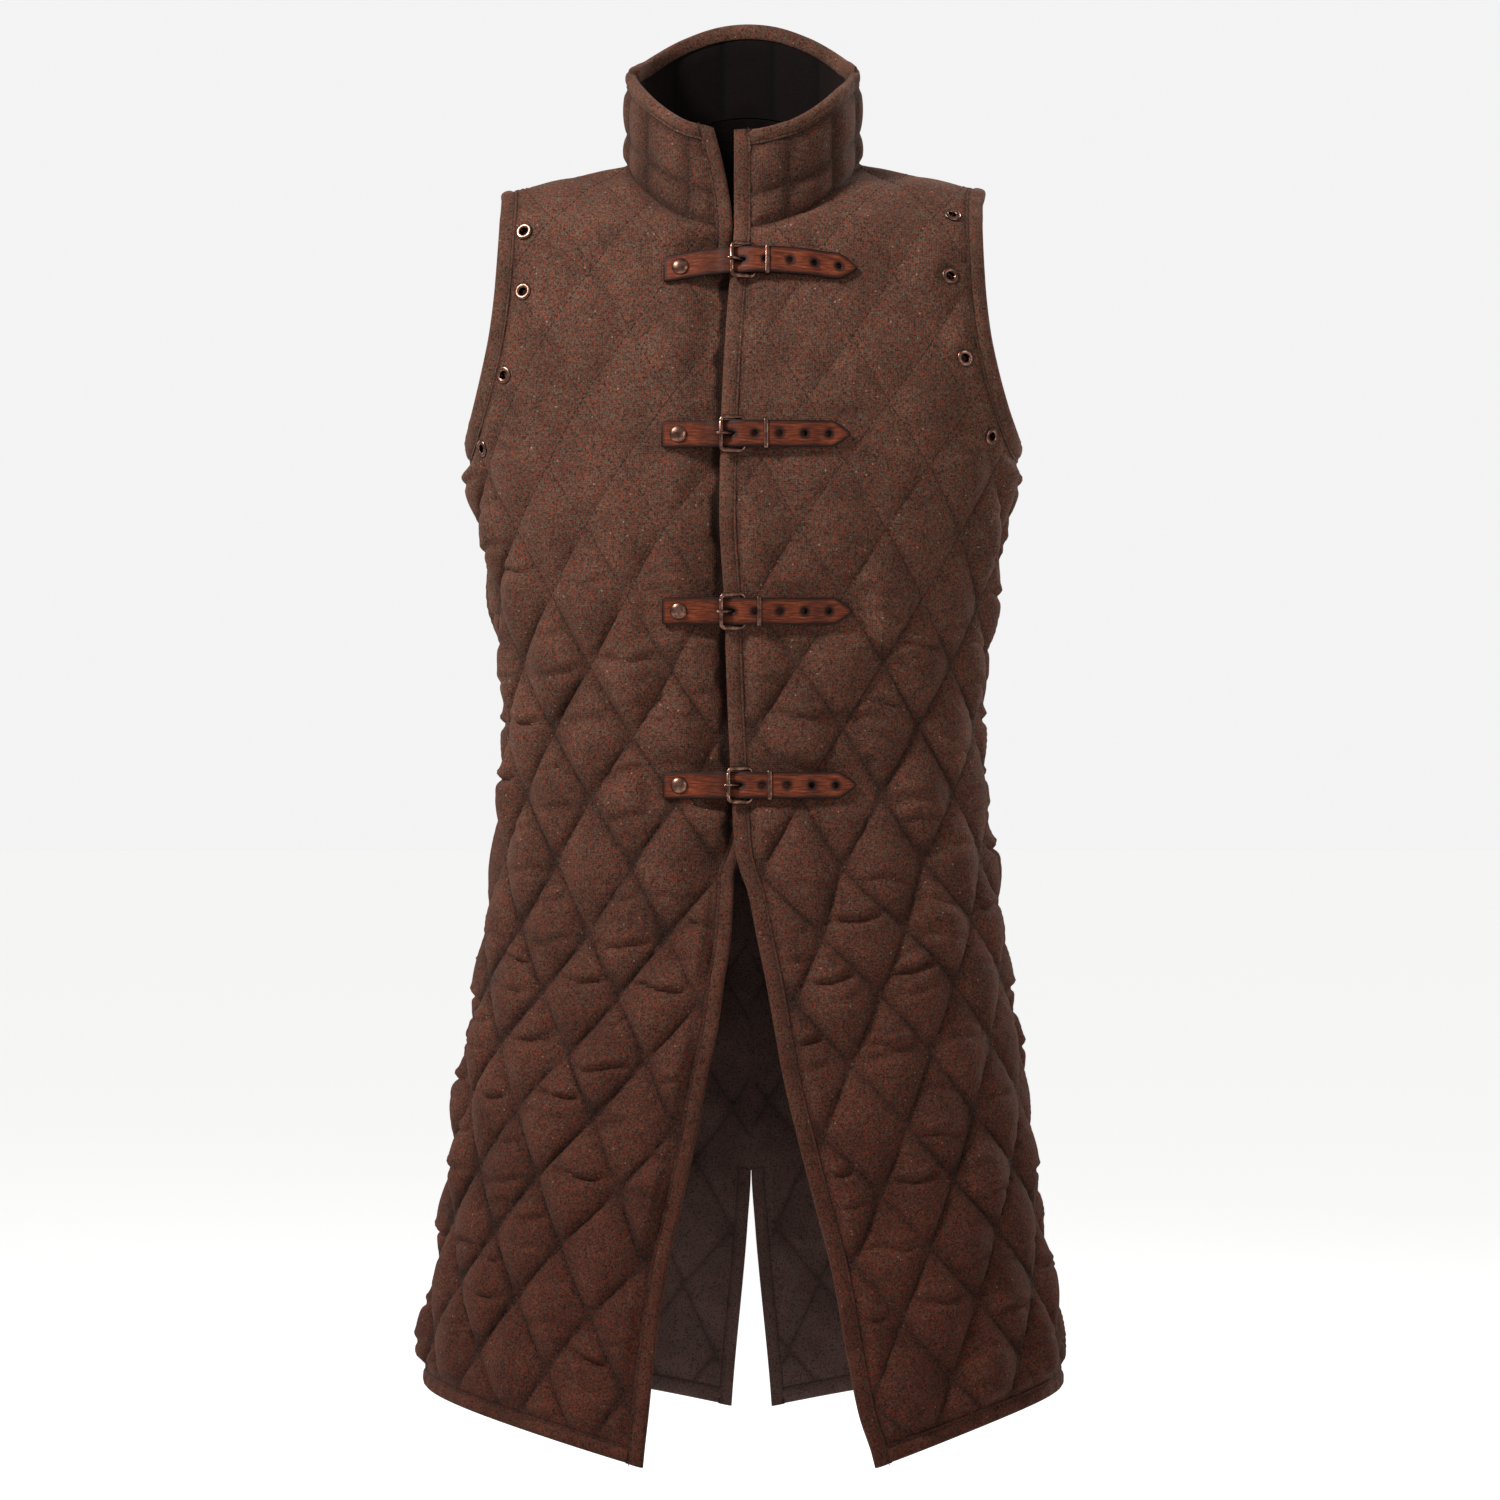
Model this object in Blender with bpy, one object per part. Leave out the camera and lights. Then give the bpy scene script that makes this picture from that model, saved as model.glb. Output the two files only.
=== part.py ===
"""A sleeveless quilted gambeson in padded wool, filled out as if worn.

Sizes are in millimetres until a mesh is made, and meshes are in metres. +Z is up and the front faces
-Y. The origin lies between the shoulder seams at the neck, where the wearer carries the garment.
Left and right are the wearer's, so left is +X.

The body is a tube of rings. A point of the cloth is found from its distance along a ring, measured
from the centre front or centre back, its height on the cloth, and its lift off the stitched surface.
"""
import math
from collections import namedtuple

import bmesh
import bpy
import numpy as np
from mathutils import Vector
from mathutils.geometry import delaunay_2d_cdt

MM = 0.001
SEAM_GAP = 0.3

# The cloth wall: lifts are measured out from the surface that the quilting stitches pull down to
TABLE_LIFT = 4.0
WALL_INSIDE = -5.0
PUFF = 5.0
PRESSED = 0.4
EDGE_CALM = 7.0
EDGE_FULL = 20.0

# The quilting: diamonds twice these sizes, counted from the centre line and from one row of corners
DIAMOND_HALF_WIDTH = 31.0
DIAMOND_HALF_HEIGHT = 47.5
FIRST_CORNER = 16.0
CORNER_ROW = -327.0

HEM = -938.0
HEM_RISE = 40.0
RISE_START = -430.0
SWING_START = -500.0
SWING_LENGTH = 70.0

BINDING = 12.0
ARMHOLE_BINDING = 13.0
SLIT_BINDING = 10.0
SLIT_TOP = -755.0

NECK_HALF_WIDTH = 86.0
NECK_DROP = 58.0
NECK_CLIMB = 43.0
NECK_ROUND = 0.8
RING_SQUARENESS = 2.2
SHOULDER_TIP_X = 180.0
SHOULDER_TIP_Z = -22.0
UNDERARM_Z = -211.0

COLLAR_HEIGHT = 70.0
COLLAR_GROOVE = 23.5
COLLAR_SEAT = 0.8
COLLAR_RIM = 11.0
COLLAR_LINE_PITCH = 40.0
COLLAR_PUFF = 3.5
COLLAR_LEAN = 14.0
COLLAR_LEAN_POWER = 1.6
COLLAR_INSIDE = -6.0

# How far the lapped edge of the right front lies under the left one
LAP_DROP = 8.6
LAP_FLAT = 15.0
LAP_END = 48.0

# Sections of the folded bindings: share of the binding's width, lift off the stitched surface
BOUND_EDGE = ((1.0, 0.3), (0.55, 1.6), (0.12, 1.1), (0.0, -2.2), (0.12, -5.0), (1.0, -5.4))
FLAT_EDGE = ((1.0, 0.3), (0.55, 1.0), (0.1, 0.7), (0.0, -2.2), (0.1, -4.8), (1.0, -5.2))
RIM_EDGE = ((1.0, 0.3), (0.6, 1.8), (0.14, 1.2), (0.0, -2.4), (0.14, -6.2), (1.0, -6.2))

# How many points the cloth's edges get, so that neighbouring pieces share their places
FRONT_NECK_STEPS = 8
BACK_NECK_STEPS = 7
RIDGE_STEPS = 5
SIDE_STEPS = 26
HEM_STEPS = 12
EDGE_STEPS = 38
SLIT_STEPS = 8
BACK_SEAM_STEPS = 26
ARMHOLE_STEPS = 11
COLLAR_END_STEPS = 6
FINE_STEPS = 240

# How far a point of the cloth's inner triangles stays from an edge
OUTER_CLEAR = 6.5
INNER_CLEAR = 12.0

# height, half width of the body at its side line, which is the shoulder ridge above the tip
SIDE_LINE = (
    (60, 60), (40, 70), (30, 77), (20, 81), (10, 84), (0, 86), (-4, 105), (-10, 130), (-16, 155),
    (-22, 180), (-35, 201), (-60, 217), (-95, 226), (-130, 228), (-160, 225), (-190, 216),
    (-211, 208), (-260, 197), (-310, 187), (-360, 180), (-412, 177), (-460, 179), (-500, 182),
    (-560, 191), (-620, 199), (-700, 211), (-780, 220), (-850, 233), (-900, 238), (-965, 243),
)

# height, depth of the front from the side line
FRONT_DEPTH = (
    (0, 6), (-4, 13.5), (-10, 22), (-16, 35), (-22, 47), (-35, 62), (-41, 68), (-51, 79), (-60, 83),
    (-95, 93), (-130, 102), (-160, 109), (-210, 117), (-260, 119), (-310, 116), (-360, 111),
    (-412, 106), (-460, 107), (-500, 112), (-560, 121), (-620, 129), (-700, 137), (-780, 143),
    (-850, 147), (-900, 150), (-965, 153),
)

# height, depth of the back from the side line
BACK_DEPTH = (
    (60, 70), (42, 77), (30, 81), (20, 85), (10, 89), (0, 93), (-10, 97), (-22, 100), (-60, 107),
    (-95, 112), (-160, 115), (-210, 115), (-260, 111), (-310, 105), (-360, 101), (-412, 100),
    (-460, 104), (-500, 111), (-560, 122), (-620, 130), (-700, 137), (-780, 142), (-850, 146),
    (-900, 148), (-965, 151),
)

# height on the cloth, height in the air: the cloth runs longer where it turns over the shoulder
FRONT_CLOTH = (
    (39, 0), (31, -4), (20, -10), (6, -16), (-8, -22), (-26, -35), (-49, -51), (-95, -95),
    (-150, -150), (-965, -965),
)
BACK_CLOTH = (
    (98, 60), (76, 42), (66, 30), (58, 20), (50, 10), (42, 0), (28, -4), (10, -10), (-3, -16),
    (-14, -22), (-30, -35), (-58, -60), (-95, -95), (-150, -150), (-965, -965),
)

# height, x of the left front's edge, x of the right front's edge
FRONT_EDGES = (
    (0, -1.5, -2.5), (-66, -3.5, -4.5), (-76, -4.2, -5.0), (-94, -5.5, 6.5), (-130, -8, 4),
    (-205, -11, 1), (-268, -12, 0), (-325, -9, 3), (-395, -7, 5), (-450, -4.5, 7.5), (-485, -2.5, 9),
    (-505, -0.8, 4.5), (-520, 3, -1.5), (-532, 7.7, -2), (-566, 15, -3.5), (-597, 21.7, -8),
    (-628, 27.5, -12), (-665, 34.5, -20), (-700, 43, -26), (-751, 56.5, -37), (-800, 69.5, -48),
    (-860, 80.7, -57), (-900, 89, -61), (-937, 101, -65), (-965, 105, -67),
)

# height, how far the right front's edge has sunk under the left one
LAP_DEPTH = ((0, 0), (-56, 0), (-74, 1), (-518, 1), (-580, 0), (-965, 0))

# height, half width of the open back slit
BACK_SLIT = ((60, 0.15), (-755, 0.15), (-800, 3.0), (-938, 15.5), (-965, 17.0))

# height, x of the armhole's edge as seen from the front
ARMHOLE_LINE = (
    (-22, 180), (-30, 178), (-45, 177.5), (-60, 177.8), (-96, 179.5), (-129, 183), (-162, 190),
    (-191, 199), (-203, 204), (-211, 207.9),
)

# Heights of the strap's sewn end, buckle and tip, and x of the buckle's free bar, keeper and tip
Closure = namedtuple("Closure", "number start_z buckle_z tip_z bar keeper tip")
CLOSURES = (
    Closure(1, -90.0, -84.0, -89.5, -4.0, 21.5, 86.0),
    Closure(2, -210.0, -210.0, -210.0, -10.3, 21.5, 82.0),
    Closure(3, -335.5, -335.5, -335.5, -10.3, 16.5, 83.5),
    Closure(4, -459.0, -459.0, -459.0, -5.5, 23.6, 86.5),
)
STRAP_START = -53.0
STRAP_WIDTH = 19.0
STRAP_THICK = 2.4
STRAP_POINT = 13.0
STRAP_HOLE_PITCH = 17.5
STRAP_HOLE_RADIUS = 2.0
STRAP_HOLES = 4
STRIP_CLEAR = 3.5
PRONG_SLOT = (3.6, 1.6)
RIVET_X = -41.0
RIVET_RADIUS = 6.2
BUCKLE_LENGTH = 16.1
BUCKLE_HALF_HEIGHT = 11.9
BUCKLE_BAR = 1.6
BUCKLE_CORNER = 2.6
FREE_BAR_LIFT = 6.85
HEEL_BAR_LIFT = 2.6
PRONG_RADIUS = 1.1
# distance from the buckle's free bar, lift of the prong's middle
PRONG_PATH = ((14.0, 2.5), (9.3, 2.55), (6.5, 4.7), (3.9, 7.6), (0.0, 9.95), (-3.4, 9.5))
PRONG_SLOT_FROM_BAR = 6.5
CHAPE_END = 50.0
CHAPE_THICK = 2.0
CHAPE_GAP = 0.35
KEEPER_WIDTH = 4.0
KEEPER_HALF_HEIGHT = 10.4
KEEPER_HALF_THICK = 0.4
KEEPER_LOW = 1.3
KEEPER_HIGH = 7.55
KEEPER_CORNER = 1.2
CLOSURE_BAND = 15.0
CLOSURE_FADE = 11.0
CLOSURE_PAST = 8.0
CLOSURE_PAST_FADE = 14.0

# x and z as seen from the front, on either side, and how far the rims sit off the cloth, which is
# more where it turns sharply over the shoulder
Eyelet = namedtuple("Eyelet", "number left_x left_z right_x right_z seat")
EYELETS = (
    Eyelet(1, 154.0, -46.0, -157.0, -58.0, 1.4),
    Eyelet(2, 153.0, -93.0, -157.0, -103.0, 0.7),
    Eyelet(3, 164.0, -153.0, -171.0, -164.0, 0.7),
    Eyelet(4, 184.0, -209.0, -190.0, -216.0, 0.8),
)
EYELET_RADIUS = 6.2
EYELET_RIM = 0.8
EYELET_HOLE = 3.0
EYELET_BARREL = 3.4
EYELET_CUT = 5.5
EYELET_SIDES = 10
EYELET_CALM = 10.0

LEFT = 1
RIGHT = -1
SIDE_NAMES = {LEFT: "left", RIGHT: "right"}


def smooth_table(rows, column=1, key=0):
    """Return a function that runs smoothly through a table's rows and never overshoots them."""
    rows = sorted(rows, key=lambda row: row[key])
    place = np.array([row[key] for row in rows], dtype=float)
    value = np.array([row[column] for row in rows], dtype=float)
    step = np.diff(place)
    slope = np.diff(value) / step
    tangent = np.zeros_like(value)
    tangent[0] = slope[0]
    tangent[-1] = slope[-1]
    before, after = slope[:-1], slope[1:]
    same = before * after > 0
    early = 2 * step[1:] + step[:-1]
    late = step[1:] + 2 * step[:-1]
    inner = np.zeros(len(value) - 2)
    inner[same] = (early + late)[same] / (early[same] / before[same] + late[same] / after[same])
    tangent[1:-1] = inner

    def read(where):
        where = np.clip(where, place[0], place[-1])
        row = np.clip(np.searchsorted(place, where) - 1, 0, len(step) - 1)
        t = (where - place[row]) / step[row]
        start = (1 + 2 * t) * (1 - t) ** 2 * value[row] + t * (1 - t) ** 2 * step[row] * tangent[row]
        end = t * t * (3 - 2 * t) * value[row + 1] + t * t * (t - 1) * step[row] * tangent[row + 1]
        return start + end

    return read


def ease(value):
    """Rise smoothly from 0 to 1 as the value does."""
    value = np.clip(value, 0.0, 1.0)
    return value * value * (3 - 2 * value)


half_width = smooth_table(SIDE_LINE)
depth = {"front": smooth_table(FRONT_DEPTH), "back": smooth_table(BACK_DEPTH)}
air_height = {"front": smooth_table(FRONT_CLOTH), "back": smooth_table(BACK_CLOTH)}
cloth_height = {"front": smooth_table(FRONT_CLOTH, 0, 1), "back": smooth_table(BACK_CLOTH, 0, 1)}
left_edge = smooth_table(FRONT_EDGES, 1)
right_edge = smooth_table(FRONT_EDGES, 2)
lap_depth = smooth_table(LAP_DEPTH)
back_slit = smooth_table(BACK_SLIT)
armhole_x = smooth_table(ARMHOLE_LINE)

# One quarter of a ring for each ratio of depth to width: how its length grows with the angle
STEPS = 180
SETTLE_STEPS = 12
ANGLES = np.linspace(0.0, math.pi / 2, STEPS + 1)
RATIOS = np.linspace(0.02, 1.42, 141)
RING_POWER = 2.0 / RING_SQUARENESS
ACROSS = np.sin(ANGLES) ** RING_POWER
DEEP = np.cos(ANGLES) ** RING_POWER
ARC = np.array([
    np.concatenate(([0.0], np.cumsum(np.hypot(np.diff(ACROSS), ratio * np.diff(DEEP)))))
    for ratio in RATIOS
])
ANGLE_AT = np.array([np.interp(np.linspace(0, 1, STEPS + 1), row / row[-1], ANGLES) for row in ARC])


def look_up(table, ratio, column):
    """Read a table between its rows and columns."""
    row = np.clip((ratio - RATIOS[0]) / (RATIOS[1] - RATIOS[0]), 0, len(RATIOS) - 1.001)
    column = np.clip(column, 0, STEPS - 0.0001)
    top = row.astype(int)
    left = column.astype(int)
    down = row - top
    over = column - left
    upper = table[top, left] * (1 - over) + table[top, left + 1] * over
    lower = table[top + 1, left] * (1 - over) + table[top + 1, left + 1] * over
    return upper * (1 - down) + lower * down


def ring_length(half, z):
    """Length along the ring from the centre line to the side line."""
    width = half_width(z)
    ratio = np.asarray(depth[half](z) / width, dtype=float)
    return width * look_up(ARC, ratio, np.full(ratio.shape, float(STEPS)))


def ring_distance(half, x, z):
    """Distance along the ring, from the centre line to the place that lies x across."""
    x = np.asarray(x, dtype=float)
    width = half_width(z)
    ratio = np.asarray(depth[half](z) / width, dtype=float) + np.zeros(x.shape)
    share = np.clip(np.abs(x) / width, 0, 1)
    angle = np.arcsin(share ** (1 / RING_POWER))
    return np.sign(x) * width * look_up(ARC, ratio, angle / ANGLES[-1] * STEPS)


def ring_place(half, s, q):
    """Point of the table's surface, and how near it is to the side line, from 0 to 1."""
    s, q = np.broadcast_arrays(np.asarray(s, dtype=float), np.asarray(q, dtype=float))
    z = air_height[half](q)
    width = half_width(z)
    deep = depth[half](z)
    share = np.clip(np.abs(s) / ring_length(half, z), 0, 1)
    angle = look_up(ANGLE_AT, deep / width, share * STEPS)
    x = np.sign(s) * width * np.sin(angle) ** RING_POWER
    facing = -1.0 if half == "front" else 1.0
    y = facing * deep * np.maximum(np.cos(angle), 0.0) ** RING_POWER
    return np.stack((x, y, z + 0 * x), axis=-1), share


def body(half, side, s, q, lift=0.0):
    """Point at a distance along the ring, a height on the cloth and a lift off the stitched surface."""
    reach = 0.5
    point, share = ring_place(half, s, q)
    along = ring_place(half, s + reach, q)[0] - ring_place(half, s - reach, q)[0]
    rise = ring_place(half, s, q + reach)[0] - ring_place(half, s, q - reach)[0]
    normal = np.cross(along, rise)
    if half == "back":
        normal = -normal
    normal[..., 1] *= np.minimum(1.0, (1.0 - share) / 0.03)
    normal /= np.linalg.norm(normal, axis=-1, keepdims=True)
    point = point + normal * (np.asarray(lift, dtype=float)[..., None] - TABLE_LIFT)
    flip = np.array([side, 1.0, 1.0])
    return point * flip, normal * flip


class Panel:
    """One quarter of the body's cloth, drawn flat: p runs from the middle to the side, q runs up."""

    def __init__(self, half, side):
        self.half = half
        self.side = side

    def edge(self, q):
        """Distance along the ring of the panel's middle edge."""
        if self.half == "back":
            return back_slit(q)
        if self.side == LEFT:
            return left_edge(q)
        return -right_edge(q)

    def swing(self, q):
        """How far the quilting has swung sideways with the opening skirt."""
        return ease((SWING_START - q) / SWING_LENGTH) * self.edge(q)

    def height(self, p, q):
        """Height of a flat point once the skirt's rows rise towards the side."""
        reach = ring_length(self.half, air_height[self.half](q)) - self.swing(q)
        share = np.clip(p / reach, 0, 1)
        rise = HEM_RISE * ease((RISE_START - q) / (RISE_START - HEM))
        return q + rise * np.sin(share * math.pi / 2)

    def place(self, p, q, lift=0.0):
        """Point in space of a flat point, and its outward direction."""
        p = np.asarray(p, dtype=float)
        q = np.asarray(q, dtype=float)
        tall = self.height(p, q)
        s = self.swing(tall) + p
        if self.half == "front" and self.side == RIGHT:
            near = 1 - ease((s - self.edge(tall) - LAP_FLAT) / (LAP_END - LAP_FLAT))
            lift = lift - LAP_DROP * near * lap_depth(tall)
        return body(self.half, self.side, s, tall, lift)

    def flat(self, s, tall):
        """Flat point of a place on the ring."""
        p = s - self.swing(tall)
        q = tall
        for _ in range(SETTLE_STEPS):
            q = tall - (self.height(p, q) - q)
        return p, q

    def flat_seen(self, x, z):
        """Flat point of a place as seen from the front, at x on this side."""
        x = np.minimum(x, half_width(z))
        s = ring_distance(self.half, x, z)
        return self.flat(s, cloth_height[self.half](z))

    def side_flat(self, q, gap):
        """Flat point on the side line, the gap short of it, for a flat height."""
        p = np.asarray(ring_length(self.half, q), dtype=float)
        for _ in range(SETTLE_STEPS):
            tall = self.height(p, q)
            p = ring_length(self.half, air_height[self.half](tall)) - gap - self.swing(tall)
        return p, q


def spread(low, high, count):
    """Evenly spaced values, both ends included."""
    return [low + (high - low) * step / (count - 1) for step in range(count)]


def neckline_z(half, x):
    """Height of the neckline at x as seen from the front."""
    fall = max(0.0, 1 - (x / NECK_HALF_WIDTH) ** 2) ** NECK_ROUND
    return -NECK_DROP * fall if half == "front" else NECK_CLIMB * fall


def neck_xs(half, first):
    """Places across the neckline, from the ridge to the middle."""
    count = FRONT_NECK_STEPS if half == "front" else BACK_NECK_STEPS
    start = math.asin(max(0.0, first) / NECK_HALF_WIDTH)
    return [NECK_HALF_WIDTH * math.sin(turn) for turn in spread(math.pi / 2, start, count)]


def neck_flats(panel, first):
    """Flat points of the neckline, from the ridge to the middle."""
    points = [panel.flat_seen(x, neckline_z(panel.half, x)) for x in neck_xs(panel.half, first)]
    points[-1] = panel.flat(np.float64(first), cloth_height[panel.half](neckline_z(panel.half, first)))
    return points


def ridge_xz(x):
    """Point of the shoulder ridge."""
    table = sorted((row[1], row[0]) for row in SIDE_LINE if SHOULDER_TIP_Z <= row[0] <= 0)
    return x, float(np.interp(x, [row[0] for row in table], [row[1] for row in table]))


def ridge_flats(panel, outer_x):
    """Flat points of the shoulder seam, from the armhole to the neck."""
    points = []
    for x in spread(outer_x, NECK_HALF_WIDTH, RIDGE_STEPS)[:-1]:
        z = ridge_xz(x)[1]
        s = ring_length(panel.half, z) - SEAM_GAP / 2
        points.append(panel.flat(s, cloth_height[panel.half](z)))
    return points


def armhole_edge(panel):
    """Points, inward and outward directions along the armhole, from the underarm to the shoulder."""
    zs = np.array(spread(UNDERARM_Z, SHOULDER_TIP_Z, FINE_STEPS + 1))
    xs = np.minimum(armhole_x(zs), half_width(zs))
    xs[0] = half_width(zs[0])
    xs[-1] = SHOULDER_TIP_X
    s = ring_distance(panel.half, xs, zs)
    s[0] = ring_length(panel.half, zs[0])
    s[-1] = ring_length(panel.half, zs[-1])
    points, normals = body(panel.half, 1, s, cloth_height[panel.half](zs))
    length = np.concatenate(([0.0], np.cumsum(np.linalg.norm(np.diff(points, axis=0), axis=1))))
    places = np.linspace(0, length[-1], ARMHOLE_STEPS + 1)
    point = np.stack([np.interp(places, length, points[:, axis]) for axis in range(3)], axis=1)
    normal = np.stack([np.interp(places, length, normals[:, axis]) for axis in range(3)], axis=1)
    normal /= np.linalg.norm(normal, axis=1, keepdims=True)
    near = np.stack([np.interp(places + 2, length, points[:, axis]) for axis in range(3)], axis=1)
    far = np.stack([np.interp(places - 2, length, points[:, axis]) for axis in range(3)], axis=1)
    tangent = near - far
    inward = np.cross(normal, tangent)
    inward /= np.linalg.norm(inward, axis=1, keepdims=True)
    inward *= np.sign(-inward[ARMHOLE_STEPS // 2, 0])
    tip = np.array(ridge_xz(SHOULDER_TIP_X - 20)) - np.array(ridge_xz(SHOULDER_TIP_X))
    inward[0] = (0.0, 0.0, -1.0)
    inward[-1] = (tip[0] / np.hypot(*tip), 0.0, tip[1] / np.hypot(*tip))
    return point, inward, normal


def armhole_flats(panel, inset):
    """Flat points that lie inside the armhole's edge, from the underarm to the shoulder."""
    point, inward, _ = armhole_edge(panel)
    inner = point + inward * inset
    flats = [panel.flat_seen(max(0.0, x), z) for x, y, z in inner]
    under_z = UNDERARM_Z - inset
    side = ring_length(panel.half, under_z) - SEAM_GAP / 2
    flats[0] = panel.flat(side, cloth_height[panel.half](under_z))
    tip_x, tip_z = ridge_xz(SHOULDER_TIP_X - inset)
    side = ring_length(panel.half, tip_z) - SEAM_GAP / 2
    flats[-1] = panel.flat(side, cloth_height[panel.half](tip_z))
    return flats


def hem_shares():
    """Places along a panel's hem, from the middle to the side."""
    return spread(0.0, 1.0, HEM_STEPS)


def middle_inset(panel):
    """Width of the binding on the panel's middle edge at the hem."""
    return BINDING if panel.half == "front" else SLIT_BINDING


def hem_flats(panel, q, gap):
    """Flat points along the hem at one flat height, from the middle edge to the side."""
    start = panel.edge(q) - panel.swing(q) + middle_inset(panel) + SEAM_GAP
    end = panel.side_flat(q, gap)[0]
    return [(start + (end - start) * share, q) for share in hem_shares()]


def side_heights():
    """Heights of the side seam's points, from the hem to the underarm."""
    probe = Panel("front", LEFT)
    p, q = probe.side_flat(HEM + BINDING + SEAM_GAP, SEAM_GAP / 2)
    low = float(probe.height(p, q))
    return spread(low, UNDERARM_Z - ARMHOLE_BINDING - SEAM_GAP, SIDE_STEPS)


def edge_heights(panel):
    """Flat heights of the middle edge's points, from the hem to the neck."""
    low = HEM + BINDING + SEAM_GAP
    if panel.half == "back":
        slit = spread(low, SLIT_TOP + SEAM_GAP, SLIT_STEPS)
        return slit, spread(SLIT_TOP + 2 * SEAM_GAP, NECK_CLIMB, BACK_SEAM_STEPS)
    first = BINDING + SEAM_GAP + float(panel.edge(-NECK_DROP))
    high = float(neck_flats(panel, first)[-1][1])
    return spread(low, high, EDGE_STEPS), []


def panel_outline(panel):
    """Flat outline of a panel, from the middle of the hem round by the side, shoulder and neck."""
    low = HEM + BINDING + SEAM_GAP
    points = hem_flats(panel, low, SEAM_GAP / 2)
    for z in side_heights()[1:-1]:
        points.append(panel.flat(ring_length(panel.half, z) - SEAM_GAP / 2, np.float64(z)))
    points += armhole_flats(panel, ARMHOLE_BINDING + SEAM_GAP)[:-1]
    points += ridge_flats(panel, SHOULDER_TIP_X - ARMHOLE_BINDING - SEAM_GAP)
    below, above = edge_heights(panel)
    if panel.half == "front":
        first = BINDING + SEAM_GAP + float(panel.edge(-NECK_DROP))
        points += neck_flats(panel, first)
        for q in reversed(below[1:-1]):
            points.append((panel.edge(q) - panel.swing(q) + BINDING + SEAM_GAP, q))
        return np.array(points, dtype=float)
    points += neck_flats(panel, SEAM_GAP / 2)
    top = float(points[-1][1])
    for q in reversed([q for q in above if q < top - EDGE_CALM]):
        points.append((SEAM_GAP / 2, q))
    for q in reversed(below[1:]):
        points.append((panel.edge(q) - panel.swing(q) + SLIT_BINDING + SEAM_GAP, q))
    return np.array(points, dtype=float)


def closure_line(closure, s):
    """Height of a closure's centre line at a place across the front."""
    rows = (
        (STRAP_START, closure.start_z), (closure.bar, closure.buckle_z),
        (closure.keeper, closure.buckle_z), (closure.tip, closure.tip_z),
    )
    return smooth_table(rows)(s)


def closure_press(x, tall):
    """How firmly the straps press the cloth flat: 1 under a strap, 0 away from it."""
    press = np.zeros(np.shape(x))
    for closure in CLOSURES:
        across = np.abs(tall - closure_line(closure, x))
        band = 1 - ease((across - CLOSURE_BAND) / CLOSURE_FADE)
        past = np.maximum(STRAP_START - x, x - closure.tip) - CLOSURE_PAST
        press = np.maximum(press, band * (1 - ease(past / CLOSURE_PAST_FADE)))
    return press


def eyelet_flats(panel):
    """Number, flat point and seat of each eyelet of a panel."""
    places = []
    for eyelet in EYELETS:
        x, z = eyelet.left_x, eyelet.left_z
        if panel.side == RIGHT:
            x, z = -eyelet.right_x, eyelet.right_z
        p, q = panel.flat_seen(np.float64(x), np.float64(z))
        places.append((eyelet.number, float(p), float(q), eyelet.seat))
    return places


def circle(centre, radius, sides):
    """Points round a circle on the flat cloth."""
    turns = [math.tau * (step + 0.5) / sides for step in range(sides)]
    return np.array([(centre[0] + radius * math.cos(t), centre[1] + radius * math.sin(t)) for t in turns])


def edge_distance(points, loops):
    """Distance from each flat point to the nearest outline."""
    best = np.full(len(points), 1e9)
    for loop in loops:
        for start, end in zip(loop, np.roll(loop, -1, axis=0)):
            along = end - start
            t = np.clip(((points - start) @ along) / max(along @ along, 1e-9), 0, 1)
            gap = points - start - t[:, None] * along
            best = np.minimum(best, np.hypot(gap[:, 0], gap[:, 1]))
    return best


def inside(points, loops):
    """Whether each flat point lies in the cloth, between the outline and its holes."""
    crossings = np.zeros(len(points), dtype=int)
    for loop in loops:
        for start, end in zip(loop, np.roll(loop, -1, axis=0)):
            if start[1] == end[1]:
                continue
            spans = (points[:, 1] < start[1]) != (points[:, 1] < end[1])
            cut = start[0] + (points[:, 1] - start[1]) * (end[0] - start[0]) / (end[1] - start[1])
            crossings += spans & (points[:, 0] < cut)
    return crossings % 2 == 1


def quilt_height(p, q):
    """Height of the quilting's pillows, from 0 on the stitch lines to 1 in the middle."""
    across = (p - FIRST_CORNER) / DIAMOND_HALF_WIDTH
    up = (q - CORNER_ROW) / DIAMOND_HALF_HEIGHT
    one = np.abs(np.sin((across + up) * math.pi / 2))
    other = np.abs(np.sin((across - up) * math.pi / 2))
    return np.sqrt(one * other)


def panel_lift(panel, points, loops):
    """Lift of a panel's outer points: puffed, and calm at its edges, eyelets and straps."""
    p, q = points[:, 0], points[:, 1]
    fade = ease((edge_distance(points, loops) - EDGE_CALM) / (EDGE_FULL - EDGE_CALM))
    if panel.half == "front":
        tall = panel.height(p, q)
        x = (panel.swing(tall) + p) * panel.side
        fade = fade * (1 - closure_press(x, tall))
    lift = PRESSED + (PUFF - PRESSED) * quilt_height(p, q) * fade
    return np.where(edge_distance(points, loops) < 0.01, 0.0, lift)


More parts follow.
